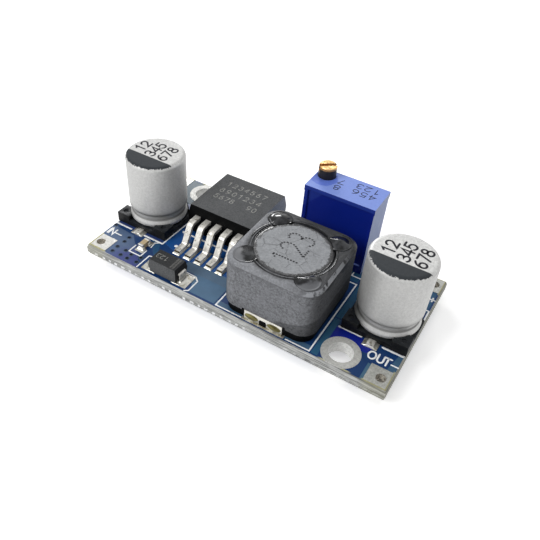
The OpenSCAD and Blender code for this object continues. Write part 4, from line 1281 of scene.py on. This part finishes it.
    def signs(self):
        """Plain numbers on the drum, as rows of small dots."""
        fixed = {"Roughness": 0.5, "Specular IOR Level": 0.2}
        made, _ = speckled("Dotted ink", fixed, (0.006, 0.006, 0.008), (0.03, 0.03, 0.034), 5.0)
        top = place_of("inductor_core")[1].z
        plan = face_plan((INDUCTOR.x, INDUCTOR.y, top), (0, 1, 0), (-1, 0, 0))
        mesh = bmesh.new()
        for i, sign in enumerate("123"):
            start = (-2.75 + self.sign_pitch * i, -self.sign_height / 2)
            for points in glyph_lines(sign, start, self.sign_height, squeeze=0.72):
                dotted_line(mesh, plan, points, size=0.23, gap=0.36)
        new_piece("drum_signs", mesh, made, smooth=False)

    def terminals(self, context):
        """Pierced terminals, with the coil's flattened wire ends behind the two slots, and small dark patches of
        painted shade between and beside them.
        """
        strip, place = new_finish("Terminal", {"Metallic": 0.85})
        worn = place.noise(2.0, 3.0, 0.7)
        foot = (place.axes()[2] + 0.3 * (worn - 0.5)).rise(BOARD_TOP + 0.4, BOARD_TOP + 0.2)
        tone = worn.rise(0.3, 0.7).shade(context.scene.converter_metal.lead, 0.8, 1.1)
        feed(strip, "Base Color", foot.blend(tone, (0.30, 0.27, 0.18)))
        feed(strip, "Roughness", 0.28 + 0.2 * worn)
        dress(strip, "inductor_front_terminal", "inductor_back_terminal")
        made, place = new_finish("Wire end", {"Metallic": 0.75})
        scrape = place.stretch(0.8, 0.8, 2.5).noise(1.0, 2.0)
        feed(made, "Base Color", scrape.rise(0.3, 0.7).blend((0.05, 0.04, 0.01), (0.21, 0.19, 0.07)))
        feed(made, "Roughness", 0.28 + 0.15 * scrape)
        relief(made, scrape * 0.006)
        wires, rings, shade_patches = bmesh.new(), bmesh.new(), bmesh.new()
        for side, node in ((-1, "inductor_front_terminal"), (1, "inductor_back_terminal")):
            low, high = place_of(node)
            face_y = low.y if side < 0 else high.y
            plan = face_plan((INDUCTOR.x, face_y, BOARD_TOP + self.slot_height), (-side, 0, 0), (0, 0, 1))
            for x in (-self.slot_x, self.slot_x):
                pillow(rings, plan, (x, 0), half=(1.04, 0.58), rise=0.1)
                pillow(wires, plan, (x, 0.09), half=(0.97, 0.48), rise=0.19)
            # Dark patches in the base's shaded plastic, between the wire ends and at the ends of the strip, are
            # painted shade.
            pillow(shade_patches, plan, (0, -0.12), half=(0.5, 0.42), rise=0.05, sharp=6.0)
            for x in (-self.post_x, self.post_x):
                pillow(shade_patches, plan, (x, 0.6), half=(0.19, 0.42), rise=0.05, sharp=5.0)
        new_piece("coil_wire_ends", wires, made)
        new_piece("terminal_shade_patches", shade_patches, bpy.data.materials["Shaded inductor base plastic"])
        new_piece("coil_end_solder", rings, bpy.data.materials["Solder"])


# Trimmer


CLEAR_R = 1.85  # the housing's top is deep blue inside this radius, by the screw
CLEAR_SHIFT = Vector((0, 0.7, 0))


def trimmer_finish(bodies):
    """Blue moulded housing: glossy front; its top and ends are painted pale as painted light and reflection, and its
    front lip, a sheen on its front and its recess wall are painted lighter as painted light.
    """
    made, place = new_finish("Trimmer blue", {"Specular IOR Level": 0.3})
    x_out, _, z_out = facing(place)
    x, y, z = place.axes()
    low, high = place_of("trimmer_housing")
    half = (high.x - low.x) / 2
    # The top and the outer ends are painted pale blue and lavender as painted light and reflection.
    ends = abs(x_out).rise(0.6, 0.9) * abs(x - low.x - half).rise(half - 0.3, half - 0.2)
    painted_light_faces = ends.most(z_out.rise(0.6, 0.9))
    grain = place.noise(4.0, 3.0, 0.7)
    cloud = place.noise(0.5, 2.0)
    scuffs = place.stretch(2.0, 2.0, 0.7).noise(1.2, 4.0, 0.7).rise(0.5, 0.75)
    pale = (ends * 0.75).blend(bodies.trimmer_pale, scuffs.blend((0.41, 0.49, 0.70), (0.60, 0.66, 0.78)))
    away = from_axis(x, y, SCREW - CLEAR_SHIFT) + 0.4 * (place.noise(1.2) - 0.5)
    pale = (away.rise(CLEAR_R, CLEAR_R - 0.15) * z_out * 0.7).blend(pale, (0.08, 0.15, 0.62))
    tone = (0.6 + cloud * 0.4).shade(bodies.trimmer, 0.7, 1)
    # A lighter lip along the front's top and a diagonal sheen on the front are painted highlight.
    lip = y.rise(low.y + 0.2, low.y + 0.08) * z.rise(high.z - 0.62, high.z - 0.45)
    sheen = (z - high.z + 3.4 - (x - low.x) * 1.05).rise(-0.1, 0.3) * y.rise(low.y + 0.5, low.y + 0.4)
    tone = (lip.most(sheen * 0.7) * 0.6).blend(tone, (0.028, 0.060, 0.34))
    # The recess's wall that faces +X is painted lighter, as painted light where shade falls.
    inner = x_out.rise(0.5, 0.8) * x.rise(low.x + half, low.x + half * 0.8)
    tone = (inner * 0.8).blend(tone, (0.035, 0.09, 0.75))
    tone = (painted_light_faces * (0.85 + 0.3 * (grain - 0.5))).blend(tone, pale)
    feed(made, "Base Color", tone)
    feed(made, "Roughness", 0.26 + painted_light_faces * 0.2 + 0.08 * grain)
    relief(made, grain * 0.008 + cloud * 0.03)
    return made


class CONVERTER_OT_finish_trimmer(bpy.types.Operator):
    """Finish the trimmer's housing, screw, seal and inner parts, with plain numbers on top"""

    bl_idname = "converter.finish_trimmer"
    bl_label = "Finish trimmer"

    rows = (("123", (-10.6, -9.3)), ("456", (-10.6, -7.9)), ("7", (-6.1, -8.85)), ("8", (-6.05, -7.4)))
    # Finish, node, constant sockets, two tones and the scale of the pattern
    inner_parts = (
        ("Seal rubber", "screw_o_ring", {"Roughness": 0.6}, (0.01, 0.01, 0.01), (0.03, 0.03, 0.03), 4.0),
        ("Rotor plastic", "gear_rotor", {"Roughness": 0.45}, (0.70, 0.68, 0.60), (0.82, 0.80, 0.74), 3.0),
        ("White ceramic", "trimmer_element_plate", {"Roughness": 0.6}, (0.80, 0.79, 0.75), (0.9, 0.9, 0.87), 5.0),
        ("Resistive film", "trimmer_track", {"Roughness": 0.5}, (0.015, 0.013, 0.012), (0.05, 0.04, 0.035), 8.0),
        ("Potting", "trimmer_potting", {"Roughness": 0.35}, (0.012, 0.03, 0.14), (0.03, 0.06, 0.2), 2.0),
        ("Wiper spring", "wiper", {"Metallic": 1.0, "Roughness": 0.3}, (0.55, 0.34, 0.16), (0.75, 0.52, 0.28), 4.0),
    )

    def execute(self, context):
        look, bodies = context.scene.converter_metal, context.scene.converter_body
        dress(trimmer_finish(bodies), "trimmer_housing")
        soften(0.07, "trimmer_housing")
        top = place_of("trimmer_housing")[1].z
        plan = face_plan((0, 0, top), (-1, 0, 0), (0, -1, 0))
        mesh = bmesh.new()
        for text, start in self.rows:
            write_row(mesh, plan, text, start, height=0.98, spacing=1.12, weight=0.11, squeeze=1.3)
        new_piece("trimmer_marks", mesh, bpy.data.materials["Can ink"])
        self.screw(look)
        for name, node, *recipe in self.inner_parts:
            made, place = speckled(name, *recipe)
            dress(made, node)
            if node == "trimmer_potting":
                relief(made, place.noise(1.0) * 0.1)
        dress(bpy.data.materials["Tinned lead"], "trimmer_pin_1", "trimmer_pin_2", "trimmer_pin_3")
        dress(bpy.data.materials["Solder"], "trimmer_solder")
        return {"FINISHED"}

    def screw(self, look):
        """Brass, bright on top, with a painted dark reflection down its flank, and turning rings on its head."""
        made, place = new_finish("Screw brass")
        x, y, z = place.axes()
        z_out = facing(place)[2]
        top = place_of("adjusting_screw")[1].z
        away = from_axis(x, y, SCREW)
        # The flank is painted near-black as a painted dark reflection.
        flank_reflection = z_out.rise(0.5, 0.2) * (away + 0.06 * place.noise(4.0)).rise(1.0, 1.1)
        flank_reflection = flank_reflection * (z + 0.25 * place.noise(2.5)).rise(top - 0.12, top - 0.3)
        slot = z.rise(top - 0.1, top - 0.2) * (1 - flank_reflection)
        stain = place.noise(2.8, 4.0).rise(0.45, 0.7)
        tone = (stain * 0.6).shade(look.brass, 1, 0.55)
        tone = (slot * 0.8).blend(tone, (0.52, 0.22, 0.045))
        feed(made, "Base Color", flank_reflection.blend(tone, (0.012, 0.010, 0.008)))
        feed(made, "Metallic", 1 - flank_reflection * 0.7 - slot * 0.7)
        feed(made, "Roughness", 0.33 + 0.15 * stain + 0.1 * flank_reflection)
        relief(made, (away * 38).sine() * 0.004 + stain * 0.01)
        dress(made, "adjusting_screw")


# Stage


class CONVERTER_OT_set_stage(bpy.types.Operator):
    """Set the floor, soft lights, surround and camera"""

    bl_idname = "converter.set_stage"
    bl_label = "Set stage"

    camera_at = (27.32, -52.14, 54.19)
    camera_aim = (0.33, -6.26, 6.0)
    camera_shift = (28 / 540, -5 / 540)
    camera_reach = 10
    floor_half = 1500
    floor_gap = 0.01

    def execute(self, context):
        look = context.scene.converter_stage
        self.floor(look)
        self.surround(context.scene, look)
        self.light("Key softbox", (-120, -170, 170), (140, 140), look.key_power)
        self.light("Overhead softbox", (20, 40, 260), (220, 220), look.top_power, mirrored=False)
        self.light("Back strip", (-138, 188, 100), (90, 62), look.strip_power)
        self.camera(context.scene, look)
        context.scene.view_settings.view_transform = "Standard"
        return {"FINISHED"}

    def seen(self, start):
        """1 for rays that show the background: straight, reflected or through glass."""
        outputs = ("Is Camera Ray", "Is Glossy Ray", "Is Transmission Ray")
        straight, glossy, through = (start.node("ShaderNodeLightPath", output=name) for name in outputs)
        return straight.most(glossy).most(through)

    def floor(self, look):
        """A pale floor that reads white and keeps the object's soft shadow."""
        fixed = {"Roughness": 0.9, "Specular IOR Level": 0.1, "Emission Strength": 1.0}
        made, place = new_finish("Pale floor", fixed)
        x, y, _ = place.axes()
        away = ((x ** 2 + y ** 2) ** 0.5).rise(100, 700)
        glow = self.seen(place) * (0.42 + 0.58 * away)
        feed(made, "Base Color", (look.floor, look.floor, look.floor))
        feed(made, "Emission Color", glow.blend((0, 0, 0), (1, 1, 1)))
        mesh = bmesh.new()
        half = self.floor_half
        plan = face_plan((0, 0, FLOOR_Z - self.floor_gap))
        flat_face(mesh, plan, ((-half, -half), (half, -half), (half, half), (-half, half)), 0)
        piece = new_object("floor", mesh, made, smooth=False)

    def surround(self, scene, look):
        """White where it is seen, and a low even light for the rest."""
        world = bpy.data.worlds.new("Surround")
        world.use_nodes = True
        scene.world = world
        start = Field(world.node_tree)
        background = world.node_tree.nodes["Background"]
        background.inputs["Color"].default_value = (1, 1, 1, 1)
        level = self.seen(start) * (1 - look.sky) + look.sky
        world.node_tree.links.new(level.socket, background.inputs["Strength"])

    def light(self, name, place, size, power, mirrored=True):
        """An oval area lamp that faces the object."""
        lamp = bpy.data.lights.new(name, "AREA")
        lamp.shape = "ELLIPSE"
        lamp.size, lamp.size_y = (length * MM for length in size)
        lamp.energy = power
        piece = bpy.data.objects.new(name, lamp)
        piece.location = Vector(place) * MM
        piece.rotation_euler = (-piece.location).to_track_quat("-Z", "Y").to_euler()
        piece.visible_glossy = mirrored
        bpy.context.scene.collection.objects.link(piece)

    def camera(self, scene, look):
        """The camera, turned to its aim and then rolled."""
        data = bpy.data.cameras.new("Camera")
        data.lens = look.lens
        data.shift_x, data.shift_y = self.camera_shift
        data.clip_start, data.clip_end = MM, self.camera_reach
        piece = bpy.data.objects.new("Camera", data)
        sight = (Vector(self.camera_aim) - Vector(self.camera_at)) * MM
        turn = sight.to_track_quat("-Z", "Y").to_matrix() @ Matrix.Rotation(look.roll, 3, "Z")
        piece.matrix_world = Matrix.LocRotScale(Vector(self.camera_at) * MM, turn, None)
        scene.collection.objects.link(piece)
        scene.camera = piece


class CONVERTER_PT_finish(bpy.types.Panel):
    """Looks and steps of the converter module"""

    bl_label = "Converter"
    bl_idname = "CONVERTER_PT_finish"
    bl_space_type = "VIEW_3D"
    bl_region_type = "UI"
    bl_category = "Converter"

    def draw(self, context):
        for group in LOOKS:
            settings = getattr(context.scene, group)
            box = self.layout.box()
            for name in settings.bl_rna.properties.keys():
                if name not in ("rna_type", "name"):
                    box.prop(settings, name)
        for step in STEPS:
            self.layout.operator(step.bl_idname)


LOOKS = {
    "converter_board": BoardLook,
    "converter_metal": MetalLook,
    "converter_body": BodyLook,
    "converter_stage": StageLook,
}
STEPS = (
    CONVERTER_OT_finish_board,
    CONVERTER_OT_print_board,
    CONVERTER_OT_open_vias,
    CONVERTER_OT_solder_joints,
    CONVERTER_OT_finish_capacitors,
    CONVERTER_OT_finish_regulator,
    CONVERTER_OT_finish_small_parts,
    CONVERTER_OT_finish_inductor,
    CONVERTER_OT_finish_trimmer,
    CONVERTER_OT_set_stage,
)


def register():
    for kind in (*LOOKS.values(), *STEPS, CONVERTER_PT_finish):
        bpy.utils.register_class(kind)
    for name, group in LOOKS.items():
        setattr(bpy.types.Scene, name, PointerProperty(type=group))


def unregister():
    for name in LOOKS:
        delattr(bpy.types.Scene, name)
    for kind in reversed((*LOOKS.values(), *STEPS, CONVERTER_PT_finish)):
        bpy.utils.unregister_class(kind)


def main():
    register()
    for step in STEPS:
        family, name = step.bl_idname.split(".")
        getattr(getattr(bpy.ops, family), name)()


if __name__ == "__main__":
    main()
